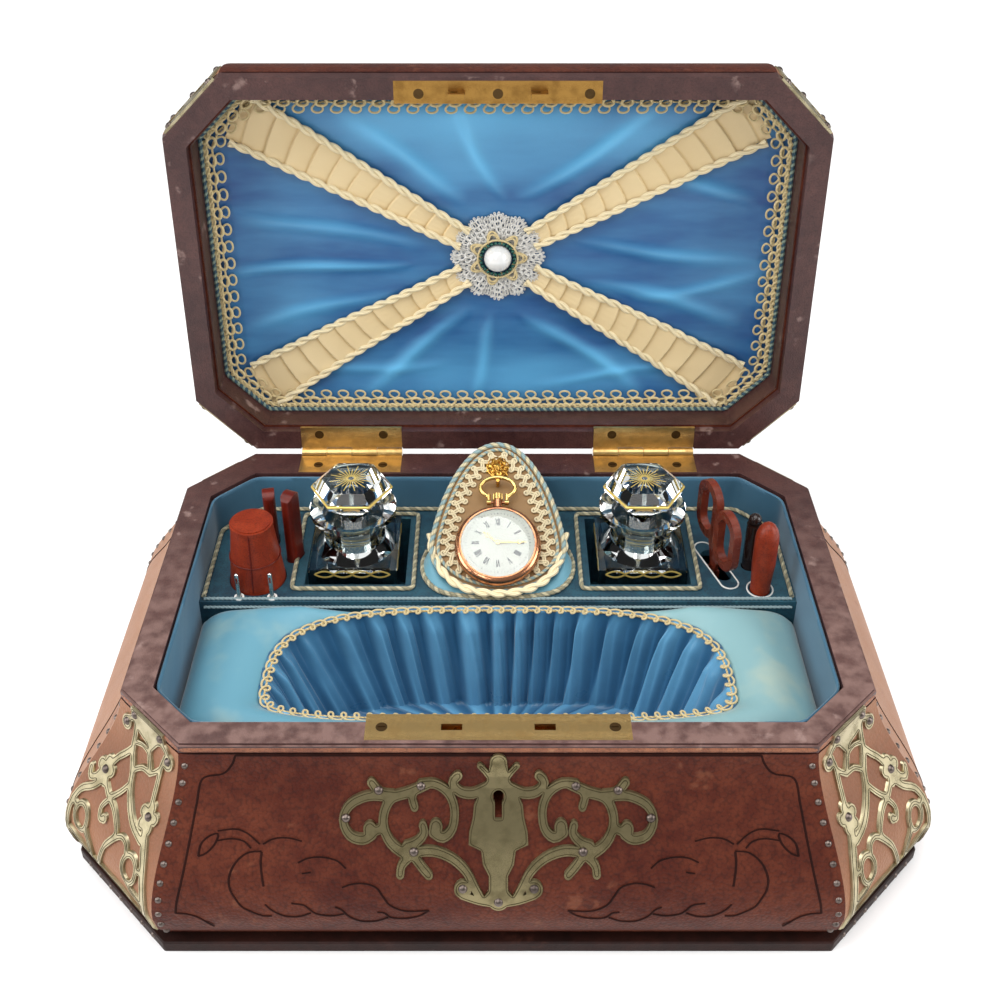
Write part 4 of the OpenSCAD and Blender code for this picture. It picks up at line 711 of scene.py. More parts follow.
# %% Pressed lines
LEAF = [[-100.9, 43.3], [-100, 46.6], [-97.4, 48.7], [-94.4, 49.5], [-94.7, 47.6], [-96.2, 45.7],
        [-98.5, 44], [-100.9, 43.3]]
SCROLLS = [
    LEAF,
    [[-94.4, 50.2], [-88.5, 50.7], [-84.4, 49.5], [-80.2, 46.6]],
    [[-94.4, 47.6], [-89.7, 48.1], [-85.6, 47.4], [-83.2, 45.5]],
    [[-79.1, 46.6], [-75.5, 48.1], [-70.8, 48.3], [-66.1, 47.4]],
    [[-79.6, 44.7], [-84.4, 44.2], [-88.5, 41.3], [-90.6, 37.2], [-90.4, 33.4], [-88.8, 30.3],
     [-86.6, 26.9], [-83.2, 24.7], [-79.8, 23], [-76.8, 23]],
    [[-79.6, 44.5], [-79.9, 40.8], [-79.1, 34.4]],
    [[-67.3, 41.5], [-63.7, 42.8], [-59, 43], [-54.3, 42], [-51.3, 39.8]],
    [[-66.1, 38.3], [-63.1, 38.7]],
    [[-52.6, 34], [-49.6, 35], [-45.5, 35.3], [-41.3, 34], [-39, 31], [-36.7, 27.7],
     [-32.7, 25.5], [-28.5, 25.1], [-23.5, 25.5]],
    [[-23.5, 25.5], [-26.8, 23], [-31.6, 21.7], [-36.3, 22.1], [-38.6, 24.3], [-41, 24.7]],
    [[-78.8, 28], [-76.6, 25.5], [-72.6, 23], [-67.9, 22.6], [-63.6, 24.3]],
    [[-69.9, 28.4], [-65.8, 27.7], [-63.5, 25.5], [-61.3, 23.8], [-56.6, 23], [-52.3, 23.9]],
    [[-55.2, 26.9], [-52.8, 25.5], [-50.6, 22.6], [-46.6, 20.2], [-41.8, 20.2], [-37.5, 22.1]],
    [[-109.4, 24.3], [-105.3, 23.8], [-101.3, 21.7], [-97.2, 16.8]],
    [[-87.9, 73.4], [-89.4, 69.8], [-92.5, 66.8], [-99.4, 65.1], [-101.6, 57.2], [-103.8, 47.6],
     [-106.2, 37.8], [-108.6, 29], [-109.4, 24.3]]]
LINE_WIDTH = 0.42


def on_wall(line, around):
    """A line of (x, height) laid on the front wall; around = -1 turns it half round to the back."""
    depth = HALF_DEPTH + wall_out(line[:, 1]) + 0.04
    return np.column_stack([line[:, 0] * around, -depth * around, line[:, 1]])


def on_side(line, side):
    """A line of (y, height) laid on a side wall."""
    return np.column_stack([side * (HALF_WIDTH + wall_out(line[:, 1]) + 0.04), line[:, 0], line[:, 1]])


lines = []
for around in (1, -1):
    for mirror in (1, -1):
        for scroll in SCROLLS:
            flat = curve(np.array(scroll) * [mirror, 1], 0.9)
            lines.append(tube(on_wall(flat, around), LINE_WIDTH, 6, up=(0, -around, 0), flat=0.5))
    top = curve([[-88, 73.4], [0, 73.4], [88, 73.4]], 2.0)
    lines.append(tube(on_wall(top, around), LINE_WIDTH, 6, up=(0, -around, 0), flat=0.5))
for side in (-1, 1):
    frame_line = curve([[-44, 66], [-52, 50], [-60, 32], [-62, 22], [-58, 14], [0, 12.5], [58, 14],
                        [62, 22], [60, 32], [52, 50], [44, 66], [0, 68], [-44, 66]], 1.2)
    lines.append(tube(on_side(frame_line, side), LINE_WIDTH, 6, up=(side, 0, 0), flat=0.5))
piece("pressed_lines", join_parts(lines), line_leather, "box")

edge = softened(evenly(at_height(rim_octagon(1.1), 75.5), 1.5, True), 2, True)
piece("turned_edge", tube(edge, 1.4, 12, True), edge_leather, "box")
seam = softened(evenly(at_height(rim_octagon(2.1), 73.9), 1.5, True), 2, True)
piece("edge_seam", tube(seam, 0.3, 6, True), line_leather, "box")
lid_edge = softened(evenly(at_height(rim_octagon(0.5), 4.2), 1.5, True), 2, True)
piece("lid_turned_edge", tube(lid_edge, 0.45, 8, True), line_leather, "lid", where=on_lid)
print("pressed", len(lines), "lines")

# %% [markdown]
# ## Brass and nails
# These hard parts are already right. The copies only make their curves smooth.

# %% Metalwork
for node in ("front_corner_mounts", "rear_corner_mounts", "lid_corner_mounts"):
    smooth_copy(node, pale_brass, 40)
smooth_copy("escutcheon", olive_brass, 40)
for node in ("dome_studs", "lid_studs"):
    smooth_copy(node, nail_steel, 60)
smooth_copy("striker_plate", aged_brass, 35)
for node in ("lock_plate", "left_hinge_lower_leaf", "right_hinge_lower_leaf",
             "left_hinge_upper_leaf", "right_hinge_upper_leaf"):
    smooth_copy(node, plate_brass, 35)
for node in ("body_screws", "lid_screws"):
    smooth_copy(node, old_screw, 40)
for node in ("hinge_pins", "lock_case", "lock_bolt"):
    smooth_copy(node, gilt_brass, 40)
print("metalwork is dressed")

# %% [markdown]
# The pierced mounts are engraved: a fine dark line follows every edge, a little inside it. The edge
# is found on the plate itself. It is where an outward face meets the plate's own thickness, at a
# sharp angle. Those edges form loops, and each loop is moved into the plate along its surface.

# %% Engraved contour lines
INSET, SHARP = 0.62, 0.9


def outward_at(place):
    """Level and away from the box: the way from a core, 170 by 100 mm, to the place."""
    return unit(np.append(place[:2] - np.clip(place[:2], (-85, -50), (85, 50)), 0))


def plate_edges(node):
    """Edges round a plate's outer face: start -> (end, way into the plate, the face's normal)."""
    work = bmesh.new()
    work.from_mesh(frame["nodes"][node].data)
    bmesh.ops.remove_doubles(work, verts=work.verts, dist=2e-6)
    work.verts.index_update()
    places = np.array([v.co[:] for v in work.verts]) / MM
    follows = {}
    for edge in work.edges:
        if len(edge.link_faces) == 2 and edge.calc_face_angle() > SHARP:
            for loop in edge.link_loops:
                corners = places[[v.index for v in loop.face.verts]]
                normal = unit(np.cross(corners[1] - corners[0], corners[2] - corners[0]))
                first, second = loop.vert.index, loop.link_loop_next.vert.index
                if normal @ outward_at(places[first]) > 0.55:
                    way = np.cross(normal, unit(places[second] - places[first]))
                    follows[first] = (second, way, normal)
    work.free()
    return places, follows


def engraved(node):
    """A fine tube inside every loop of a plate's edge, sunk halfway into the plate."""
    places, follows = plate_edges(node)
    made = []
    while follows:
        start = at = next(iter(follows))
        rows = []
        while at in follows:
            then, way, normal = follows.pop(at)
            rows.append((places[at], way, normal))
            at = then
        spots, ways, normals = (np.array(column) for column in zip(*rows))
        if at != start or len(rows) < 5 or np.linalg.norm(np.ptp(spots, axis=0)) < 7:
            continue
        moved = spots + INSET * unit(ways + np.roll(ways, 1, 0)) + 0.02 * normals
        line = softened(evenly(moved, 0.6, True), 2, True)
        nearest = np.linalg.norm(line[:, None] - moved[None], axis=2).argmin(1)
        made.append(tube(line, 0.15, 5, True, up=normals[nearest], flat=0.7))
    return join_parts(made)


for node in ("front_corner_mounts", "rear_corner_mounts", "escutcheon"):
    made = piece(node + "_lines", engraved(node), line_brass, "box")
    print(made.name, len(made.data.polygons), "faces")

# %% [markdown]
# ## The silk inside the body
# The silk on the walls is one strip, glued along its top and slightly puckered. Its grid has two
# ways round: round the box, and round its own thin section, so that it is closed. The floor has a
# thin pad. Both hide most of themselves under the tray and the cushions.

# %% Wall silk and floor pad


def pillow(outline, foot, top, crown, rows=12):
    """A closed pad over an outline: rings shrink to the middle while the top rises by crown times
    1 - share^3, share being the ring's part of the full outline; the underside is flat."""
    middle = outline.mean(0)
    share = np.concatenate([np.linspace(0.01, 0.985, 6), [1, 1], np.linspace(0.985, 0.01, rows)])
    height = np.concatenate([np.full(6, foot), [foot + 0.3, top - 0.4],
                             top + crown * (1 - np.linspace(0.985, 0.01, rows) ** 3)])
    rings = middle + (outline - middle)[None] * share[:, None, None]
    points = np.concatenate([rings, np.broadcast_to(height[:, None, None], rings.shape[:2] + (1,))], -1)
    faces = grid_faces(len(share), len(outline), False, True)
    last = (len(share) - 1) * len(outline)
    faces += [list(range(len(outline)))[::-1], list(range(last, last + len(outline)))]
    return points.reshape(-1, 3), faces, {}


lined = softened(evenly(at_height(inner_octagon(-0.25), 0), 1.6, True), 3, True)
heights = np.concatenate([np.linspace(11.3, 76.6, 34), [76.9, 76.6], np.linspace(75, 11.3, 6)])
inward = np.concatenate([np.full(34, 0.0), [0.45], np.full(7, 0.95)])
_, outwards, _ = directions(lined, (0, 0, -1), True)
along = run_of(lined)[None, :]
pucker = 0.16 * np.sin(along / 7.3 + heights[:, None] / 9) * np.sin(along / 23 + heights[:, None] / 15)
move = inward[:, None] + pucker * (inward[:, None] < 0.1)
silk_points = lined[None] + outwards[None] * move[..., None]
silk_points[..., 2] = heights[:, None]
silk_part = (silk_points, grid_faces(len(heights), len(lined), True, True), {})
wall_sheet = piece("silk_walls", silk_part, wall_silk, "box", ["lining_walls"])
floor = piece("floor_cushion", pillow(inner_octagon(-1.2)[:, :2], 9.05, 10.4, 0.5), wall_silk, "box",
              ["floor_pad"], angle=40)
print("silk walls:", len(wall_sheet.data.vertices), "points")

# %% [markdown]
# ## The pleated well
# Between the cushions a strip of satin is gathered into some thirty pleats, which run down into an
# oval well and meet on its floor. A pleat is a fold that leans over: a wave whose crest is pushed
# sideways. The radius of the well shrinks on the way down, so the pleats draw together.

# %% Well satin and its gold edge
PLEATS, ROUND = 36, 1440
WELL_MIDDLE = np.array([0, OVAL_Y + 13])


def smooth(t):
    return t * t * (3 - 2 * t)


dense = np.linspace(-math.pi, math.pi, 6001)
dense_run = run_of(well_oval(dense))
even_angle = np.interp(np.linspace(0, dense_run[-1], ROUND, endpoint=False), dense_run, dense)
turns = np.linspace(0, 2 * math.pi, ROUND, endpoint=False)
count = PLEATS * turns / (2 * math.pi) + 0.32 * np.sin(3 * turns) + 0.2 * np.sin(7 * turns + 1)
part, which = count % 1, np.floor(count).astype(int) % PLEATS
tall = np.random.default_rng(7).uniform(0.5, 1.0, PLEATS)[which]
fold = tall * np.where(part < 0.78, smooth(part / 0.78), smooth((1 - part) / 0.22))
down = np.concatenate([[0.0, 0.2], np.linspace(0.8, 45.5, 28), np.full(12, 46.0)])
rings, painted_highlights, painted_shades = [], [], []
for k, drop in enumerate(down):
    inset = [-1.6, 1.0][k] if k < 2 else 1.4
    depth = (0.8 + 2.8 * smooth(min(drop / 9, 1.0))) * (1 - 0.3 * drop / 46)
    oval = well_oval(even_angle, 2.0)
    reach = np.linalg.norm(oval - WELL_MIDDLE, axis=1)
    sway = 0.35 * np.sin(5 * turns + drop / 9)
    close = inset + depth * (fold + 0.12 * np.sin(count * 19 + drop / 7)) + (drop / 46) ** 1.1 * 0.16 * reach + sway
    if k >= 30:
        close = close + (reach - close) * (k - 29) / 12.4
    ring = oval + unit(WELL_MIDDLE - oval) * np.minimum(close, reach - 0.3)[:, None]
    lift = 0.6 * (k < 2) + (1.2 * fold if k >= 30 else 0)
    rings.append(at_height(ring, 60.3 - drop + lift))
    # Painted highlight on each pleat's crest and painted shade in its fold, kept on the vertices.
    painted_highlights.append(np.clip(1.25 * fold - 0.35, 0, 1) * 0.8)
    painted_shades.append(np.clip(1 - 1.6 * fold, 0, 1) * 0.75)
well_points = np.stack(rings).reshape(-1, 3)
well_faces = grid_faces(len(rings), ROUND, False, True)
well_faces.append(list(range((len(rings) - 1) * ROUND, len(rings) * ROUND)))
well_values = {"crest_and_painted_highlight": np.concatenate(painted_highlights), "hollow": np.concatenate(painted_shades)}
well = piece("well_satin", (well_points, well_faces, well_values), well_satin, "box",
             ["well_silk"], closed=False, angle=80)
thicken = well.modifiers.new("cloth", "SOLIDIFY")
thicken.thickness, thicken.offset = 0.25 * MM, 0

rim_line = evenly(np.column_stack([well_oval(dense[:-1], 1.0), np.full(6000, 61.0)]), 0.6, True)
chain = looped(rim_line, 4.7, 1.75, 1.85, rise=0.35, fine=26)
core = softened(rim_line, 2, True) + np.array([0, 0, -0.5])
piece("well_chain", join_parts([tube(chain, 0.43, 7, True),
                                tube(core, 0.55, 8, True, strands=2, pitch=3)]),
      gold_gimp, "box")
print("well:", len(well.data.polygons), "faces in", PLEATS, "pleats")

# %% [markdown]
# ## Two pincushions
# Each cushion fills the space between the well and the walls: from the well's rim it swells over
# and drops to the wall, tight with bran. Its grid runs round the well and across the cushion, and
# the height follows a rounded sine. Faded silk: bluer on the left, greener on the right.

# %% Pincushions


def cushion(side):
    """Rays from the well's centre; each runs from the oval to the wall, its height a swelling
    sin(pi t)^0.6 over a slope from the well's rim down to the wall."""
    rows, across = 150, 30
    angle = np.radians(90 - side * (1.3 + 177.4 * np.linspace(0, 1, rows)))
    ring = well_oval(dense, 1.7)
    polar = np.arctan2(ring[:, 1] - OVAL_Y, ring[:, 0])
    near = np.interp((angle + math.pi) % (2 * math.pi) - math.pi, polar, np.hypot(ring[:, 0], ring[:, 1] - OVAL_Y))
    dx, dy = np.cos(angle), np.sin(angle)
    x, front, back = INNER_X - 0.6, INNER_FRONT - 0.6, 6.0
    far = np.minimum(x / np.maximum(np.abs(dx), 1e-6),
                     np.where(dy > 0, (back - OVAL_Y) / np.maximum(dy, 1e-6),
                              (front + OVAL_Y) / np.maximum(-dy, 1e-6)))
    lean = (np.abs(dx) - dy) / math.sqrt(2)
    cut = ((x + front - INNER_CORNER) / math.sqrt(2) + OVAL_Y / math.sqrt(2)) / np.maximum(lean, 1e-6)
    far = np.where((dy < 0) & (lean > 0.01), np.minimum(far, cut), far)
    t = np.linspace(0, 1, across)[None, :]
    r = near[:, None] + (far - near)[:, None] * t
    width = np.clip((far - near) / 24, 0, 1)[:, None]
    ends = np.clip(np.minimum(np.arange(rows), np.arange(rows)[::-1]) / 30 + 0.3, 0, 1)[:, None]
    swell = np.sin(math.pi * t) ** 0.6
    lumps = 0.22 * np.sin(r / 6 + 5 * angle[:, None]) * np.sin(3 * angle[:, None] + r / 11)
    z = 57.6 - 8.6 * t + (10.2 * width * ends + lumps) * swell
    top = np.stack([r * dx[:, None], OVAL_Y + r * dy[:, None], z], -1)
    foot = top[:, [-1, 0]].copy()
    foot[..., 2] = 38.5
    loop = np.concatenate([top, foot], 1)
    faces = grid_faces(rows, across + 2, False, True)
    last = (rows - 1) * (across + 2)
    faces += [list(range(across + 2))[::-1], list(range(last, last + across + 2))]
    return loop.reshape(-1, 3), faces, {}


for side, name, finish in ((-1, "pincushion_left", left_silk), (1, "pincushion_right", right_silk)):
    made = piece(name + "_silk", cushion(side), finish, "box", [name], angle=50)
    print(made.name, len(made.data.vertices), "points")

# %% [markdown]
# ## The tray
# The tray is board covered in teal leather-cloth, with a lined hole for each thing. A twisted cord
# frames each bottle and runs round the back, and two narrow silvered braids mark the tray's front
# edge. The holes have pale edges where the cloth is cut.

# %% Tray, cords and edges
for node in ("tray_board", "bottle_wells"):
    smooth_copy(node, tray_cloth, 35)
for node in ("tool_sockets", "front_deck"):
    smooth_copy(node, card, 35)
smooth_copy("eyelets", white_thread, 40)
TRAY_TOP = 60.0


def rope(line, radius=0.95, pitch=5.2, closed=False, rounds=3):
    return tube(softened(line, rounds, closed), radius, 12, closed, strands=2, pitch=pitch)


def box_line(x0, x1, y0, y1, z):
    return evenly([[x0, y0, z], [x1, y0, z], [x1, y1, z], [x0, y1, z]], 0.55, True)


ropes = [rope(box_line(x0, x1, 13.7, 62.3, TRAY_TOP + 0.85), closed=True, rounds=14)
         for x0, x1 in ((-83.2, -34.2), (33.8, 81.8))]
inner = inner_octagon(-1.6)
outline = [[-117.6, 9.0], [-117.6, inner[6][1]], inner[5], inner[4], [117.6, inner[3][1]], [117.6, 9.0]]
ropes.append(rope(evenly(at_height(np.array(outline), TRAY_TOP + 0.85), 0.55), rounds=20))
piece("tray_ropes", join_parts(ropes), tray_cord, "box")

silvered = [braid(evenly([[-117.4, y, z], [117.4, y, z]], 0.7), 0.42, 3.6, sides=6)
            for y, z in ((8.1, TRAY_TOP + 0.45), (6.25, 57.6))]
piece("tray_braids", join_parts(silvered), silver_blue_cord, "box")


def slot_line(centre, turn, length, radius, z):
    """Round a slot with rounded ends, turned about its centre."""
    a = np.linspace(0, 2 * math.pi, 72, endpoint=False)
    half = length / 2 - radius
    flat = np.column_stack([radius * np.cos(a), radius * np.sin(a) + half * np.sign(np.sin(a))])
    c, s = math.cos(math.radians(turn)), math.sin(math.radians(turn))
    flat = flat @ np.array([[c, s], [-s, c]])
    return evenly(at_height(flat + centre, z), 0.8, True)


def along_x(centre, turn, length, radius, z):
    return slot_line(np.array(centre), turn - 90, length, radius, z)


needle_edge = slot_line(np.array([105.7, 14.2]), 0, 10.4, 5.19, TRAY_TOP + 0.12)
scissors_edge = slot_line(np.array([89.5, 31]) + [2 * math.sin(math.radians(19)), -1.9], 19, 26.8 + 4,
                          3.7, TRAY_TOP + 0.12)
piece("hole_edges", join_parts([tube(line, 0.34, 7, True) for line in (needle_edge, scissors_edge)]),
      white_thread, "box")
print("tray ropes:", len(ropes))

# %% [markdown]
# ## The watch stand
# A pear-shaped board, padded and covered in cream silk, leans back on a wedge. It is edged with a
# blue piping and a rope, then a finer cord, then a gimp whose double cord swings in round-ended
# loops. A braid hangs across it to hold the watch, and a rope lies round its foot over a slip of
# blue silk. All of it is drawn flat on the board and leaned back in one go.

# %% Pear board and trimmings


def pear(inset=0.0, step=0.6):
    """The board's outline: a round foot to s 18, then a slow narrowing to the tip."""
    s = -1.3 + 67.2 * (1 - np.cos(np.linspace(0, math.pi, 240))) / 2
    low = 27 * np.sqrt(np.clip(1 - ((18 - s) / 19.3) ** 2, 0, 1))
    high = 27 * np.sqrt(np.clip(1 - (np.clip(s - 18, 0, 47.9) / 47.9) ** 1.4, 0, 1))
    half = np.where(s <= 18, low, high)
    line = np.column_stack([np.concatenate([half, -half[-2:0:-1]]),
                            np.concatenate([s, s[-2:0:-1]]), np.zeros(2 * len(s) - 2)])
    line = softened(evenly(line, step, True), 6, True)
    _, side, _ = directions(line, (0, 0, 1), True)
    return softened(line + side * inset, 4, True)


def lifted(line, height):
    return line + np.array([0, 0, height])


stand = piece("stand_pad", pillow(pear(0.2, 1.0)[:, :2], -2.9, 0.0, 0.35), cream_silk, "box",
              ["watch_stand"], where=on_stand, angle=50)
leg_x = np.array([-10.6, 10.6])
leg = np.array([[[x, 27.5, 60.1], [x, 54.5, 60.1], [x, 54.5, 79.6], [x, 27.5, 66.4]] for x in leg_x])
piece("stand_leg", (leg.reshape(-1, 3), [[0, 1, 2, 3], [7, 6, 5, 4]] + grid_faces(2, 4, False, True), {}),
      piping_silk, "box", angle=20)

piece("stand_piping", tube(lifted(pear(-0.3), -1.1), 0.7, 10, True), piping_silk, "box",
      where=on_stand)
piece("stand_rope", join_parts([rope(lifted(pear(-0.1), 0.2), 1.15, 5.6, True),
                                rope(lifted(pear(2.6), 0.75), 0.75, 3.0, True)]),
      stand_cord, "box", where=on_stand)
wide = looped(lifted(pear(6.4), 0.95), 4.4, 2.4, 0.95, omega=True, rise=0.1, fine=30)
_, beside, _ = directions(wide, (0, 0, 1), True)
piece("stand_gimp", join_parts([tube(wide + beside * off, 0.42, 8, True) for off in (-0.48, 0.48)]),
      cream_cord, "box", where=on_stand)

hanging = curve([[-27.6, 25], [-26.6, 17], [-22, 6.5], [-13.5, -0.6], [0, -3.2], [13.5, -0.6],
                 [22, 6.5], [26.6, 17], [27.6, 25]], 0.8)
sag = np.interp(np.abs(hanging[:, 0]), [0, 12, 22, 27.6], [3.0, 2.8, 1.8, -1.2])
hanging[:, 2] = sag
piece("watch_braid", braid(hanging, 0.98, 13.5, gap=0.9), cream_cord, "box",
      ["watch_cradle"], where=on_stand)

foot_rope = curve([[-29.5, 37], [-31, 29], [-29.6, 20], [-24, 12.4], [-14, 9.0], [0, 8.2], [14, 9.0],
                   [24, 12.4], [29.6, 20], [31, 29], [29.5, 37]], 0.55)
foot_rope[:, 2] = TRAY_TOP + 1.0
piece("foot_rope", rope(foot_rope, 1.05, 5.0), tray_cord, "box")

edge_line = pear(-0.4, 0.8)
low = edge_line[(edge_line[:, 1] < 21)]
low = low[np.argsort(low[:, 0])]
upper = on_stand(lifted(evenly(low, 0.8), -2.4))
lower = evenly(foot_rope[(foot_rope[:, 1] < 31)], 0.8)
count = 90
pick = [np.stack([np.interp(np.linspace(0, 1, count), np.linspace(0, 1, len(v)), v[:, k])
                  for k in range(3)], 1) for v in (upper, lower)]
t = np.linspace(0, 1, 9)[:, None, None]
slip = pick[0][None] * (1 - t) + (pick[1][None] - [0, 0, 0.75]) * t
slip[..., 2] += 0.8 * np.sin(math.pi * t[..., 0])
under = slip - np.array([0, 0, 0.3])
part = join_parts([(slip, grid_faces(9, count), {}), (under, [f[::-1] for f in grid_faces(9, count)], {})])
ring = ([k for k in range(count)] + [k * count + count - 1 for k in range(1, 9)]
        + [8 * count + k for k in range(count - 2, -1, -1)] + [k * count for k in range(7, 0, -1)])
rim_faces = [[a, b, b + 9 * count, a + 9 * count] for a, b in zip(ring, ring[1:] + ring[:1])]
slip_piece = piece("stand_slip", (part[0], part[1] + rim_faces, {}), left_silk, "box")
print("pear outline:", len(edge_line), "points")

# %% [markdown]
# A little gilt rosette of wire is pinned at the top of the board, and its pin carries the watch by
# its bow. The rosette is a lathe shape whose radius ripples into petals.

# %% Gilt hook
petals = lathe([[0.05, 0.1], [4.4, 0.1], [4.9, 0.5], [4.3, 1.3], [3.0, 1.9], [2.2, 1.5], [1.4, 2.5], [0.05, 2.9]],
               (0, 54.4), 144, wobble=lambda a: 0.13 * np.cos(9 * a))
wires = [tube(looped(lifted(np.column_stack([r * np.cos(turns[::8]), 54.4 + r * np.sin(turns[::8]),
                                             np.zeros(len(turns[::8]))]), h), p, w, w * 0.9, rise=0.2),
              0.22, 5, True) for r, h, p, w in ((3.6, 1.7, 2.4, 1.0), (2.0, 2.2, 1.8, 0.6))]
shank = tube(curve([[0, 51.6, 0.6], [0, 48.6, 0.5], [0, 46.2, 0.7], [0, 45.8, 2.2], [0, 45.8, 6.2]], 0.4),
             0.72, 10)
piece("gilt_hook", join_parts([petals, shank] + wires), gilt_brass, "box",
      ["watch_hook"], where=on_stand, angle=40)
print("hook made")

# %% [markdown]
# ## The watch
# The case, the glass and the dial come from the model. The numerals are strokes of ink, each a
# thin bar laid on the enamel: I is one stroke, V two and X two that cross. They stand with their
# feet to the centre, and sixty short bars mark the minutes.

# %% Watch and dial
WATCH_S, DIAL_TOP = 17.0, 7.0
smooth_copy("watch_case", rose_gold, 35)
smooth_copy("watch_crystal", glass, 35)
smooth_copy("watch_dial", enamel, 35)
smooth_copy("watch_crown", watch_gold, 35)
smooth_copy("watch_bow", watch_gold, 50)
for node in ("hour_hand", "minute_hand"):
    smooth_copy(node, watch_gold, 35)
STROKES = {"I": ([(0, 0, 0, 1)], 0.30), "V": ([(-0.3, 1, 0, 0), (0.3, 1, 0, 0)], 0.62),
           "X": ([(-0.3, 1, 0.3, 0), (0.3, 1, -0.3, 0)], 0.66)}
HOURS = "XII I II III IIII V VI VII VIII IX X XI".split()


def dial_bar(x0, y0, x1, y1, thick, angle, radius):
    """A bar from its place in a numeral's own frame to the dial, turned to its hour."""
    ends = np.array([[x0, radius + y0], [x1, radius + y1]])
    c, s = math.cos(angle), math.sin(angle)
    flat = np.column_stack([ends[:, 0] * c + ends[:, 1] * s, ends[:, 1] * c - ends[:, 0] * s])
    line = at_height(flat + [0, WATCH_S], DIAL_TOP + 0.03)
    return tube(line, thick / 2, 4, flat=0.12)


marks = []
for hour, numeral in enumerate(HOURS):
    angle = 2 * math.pi * hour / 12
    widths = [STROKES[letter][1] for letter in numeral]
    place = -sum(widths) * 1.5 / 2
    for letter, width in zip(numeral, widths):
        middle = place + width * 1.5 / 2
        for x0, y0, x1, y1 in STROKES[letter][0]:
            marks.append(dial_bar(middle + x0 * 1.5, y0 * 3.0, middle + x1 * 1.5, y1 * 3.0,
                                  0.36 if x0 <= 0 else 0.22, angle, 7.6))
        place += width * 1.5
for minute in range(60):
    marks.append(dial_bar(0, 0, 0, 0.6, 0.16 if minute % 5 else 0.3, 2 * math.pi * minute / 60, 12.6))
piece("dial_marks", join_parts(marks), ink, "watch", where=on_stand)
print("dial:", len(marks), "strokes")

# %% [markdown]
# ## The lid's satin
# The pad in the lid is a shallow bowl of satin: high at its edge, deeper within, and tied down in
# the middle. Its grid runs in rays from the middle. Creases are long soft ridges: each is a bell
# curve across its line, and fades out towards the line's ends. Their ridges get a painted highlight,
# and a few broad pools of painted sheen lie over the satin.

# %% Lid satin
RAYS, RINGS = 420, 96
CREASES = [[-112, -20, -30, -4, 0.9, 3.0], [-116, 8, -34, 2, 1.3, 2.2], [30, -6, 112, 2, 0.9, 2.8],
           [34, 10, 108, 30, 0.9, 3.2], [-66, -62, -8, -22, 0.9, 3.4], [6, -24, 70, -66, 1.0, 3.0],
           [-20, -68, 4, -22, 0.8, 2.6], [-62, 66, -10, 24, 1.1, 3.2], [8, 24, 66, 66, 1.1, 3.0],
           [-12, 68, 0, 24, 0.8, 2.6], [56, 20, 116, 8, 0.8, 2.4], [-110, 34, -40, 14, 0.9, 2.8],
           [-96, -44, -60, -30, 0.7, 2.6], [60, -34, 112, -26, 0.8, 2.8], [14, 60, 92, 52, 0.6, 2.2],
           [-90, 56, -20, 50, 0.6, 2.4]]


def creased(x, y):
    """Each crease adds height exp(-(d / w)^2), d being the distance from its line."""
    height = 0.12 * np.sin(x / 9 + y / 6) * np.sin(y / 11 - x / 17)
    for x0, y0, x1, y1, tall, wide in CREASES:
        length = math.hypot(x1 - x0, y1 - y0)
        along = ((x - x0) * (x1 - x0) + (y - y0) * (y1 - y0)) / length ** 2
        across = ((x - x0) * (y1 - y0) - (y - y0) * (x1 - x0)) / length
        across = across + 1.6 * np.sin(along * 5 + x0)
        fade = np.clip(1 - (2 * along - 1) ** 2, 0, 1)
        height = height + tall * fade * np.exp(-(across / wide) ** 2)
    return height


def satin_at(x, y):
    """The satin's depth in the lid, with its creases fading at the edge and under the rosette."""
    r = np.hypot(x, y)
    edge = np.clip((lid_reach(np.arctan2(y, x)) - r) / 12, 0, 1) * np.clip(r / 24, 0, 1)
    return lining_at(x, y) - edge * creased(x, y)


# Painted light: broad pools of painted sheen on the satin, each x, y, width, height and strength.
PAINTED_GLOW = [[-20, -60, 66, 15, 0.85], [70, -50, 44, 15, 0.5], [-92, 22, 26, 18, 0.3],
        [10, 56, 74, 13, 0.6], [96, 8, 22, 22, 0.3], [-10, -40, 34, 10, 0.4]]
rays = np.linspace(0, 2 * math.pi, RAYS, endpoint=False)[:, None]
share = np.linspace(0.004, 1, RINGS)[None, :] ** 0.8
reach_out = lid_reach(rays) - 0.15
x, y = reach_out * share * np.cos(rays), reach_out * share * np.sin(rays)
front = np.stack([x, y, satin_at(x, y)], -1)
back_share = np.linspace(1, 0.01, 12)[None, :]
back = np.stack([reach_out * back_share * np.cos(rays), reach_out * back_share * np.sin(rays),
                 np.full((RAYS, 12), 27.9)], -1)
loop = np.concatenate([front, back], 1)
# Painted highlight: the creases' ridges and the pools of painted light are mixed towards the light blue.
crest_and_painted_highlight = 0.6 * creased(loop[..., 0], loop[..., 1]) - 0.1
for glow_x, glow_y, wide, tall, share_of_light in PAINTED_GLOW:
    crest_and_painted_highlight = crest_and_painted_highlight + share_of_light * np.exp(-((loop[..., 0] - glow_x) / wide) ** 2
                                            - ((loop[..., 1] - glow_y) / tall) ** 2)
faces = grid_faces(RAYS, RINGS + 12, True, False)
faces += [[r * (RINGS + 12) + column for r in range(RAYS)] for column in (0, RINGS + 11)]
satin = piece("lid_satin", (loop.reshape(-1, 3), faces, {"crest_and_painted_highlight": np.clip(crest_and_painted_highlight, 0, 1)}), lid_satin, "lid",
              ["lid_pad"], where=on_lid)
inner_wall = [evenly(at_height(rim_octagon(out), z), 2.0, True)
              for out, z in ((-9.62, 4.1), (-9.9, 4.1), (-9.9, 17.4), (-9.62, 17.4))]
span = min(len(line) for line in inner_wall)
inner_wall = np.stack([evenly(line, 2.0, True)[:span] for line in inner_wall])
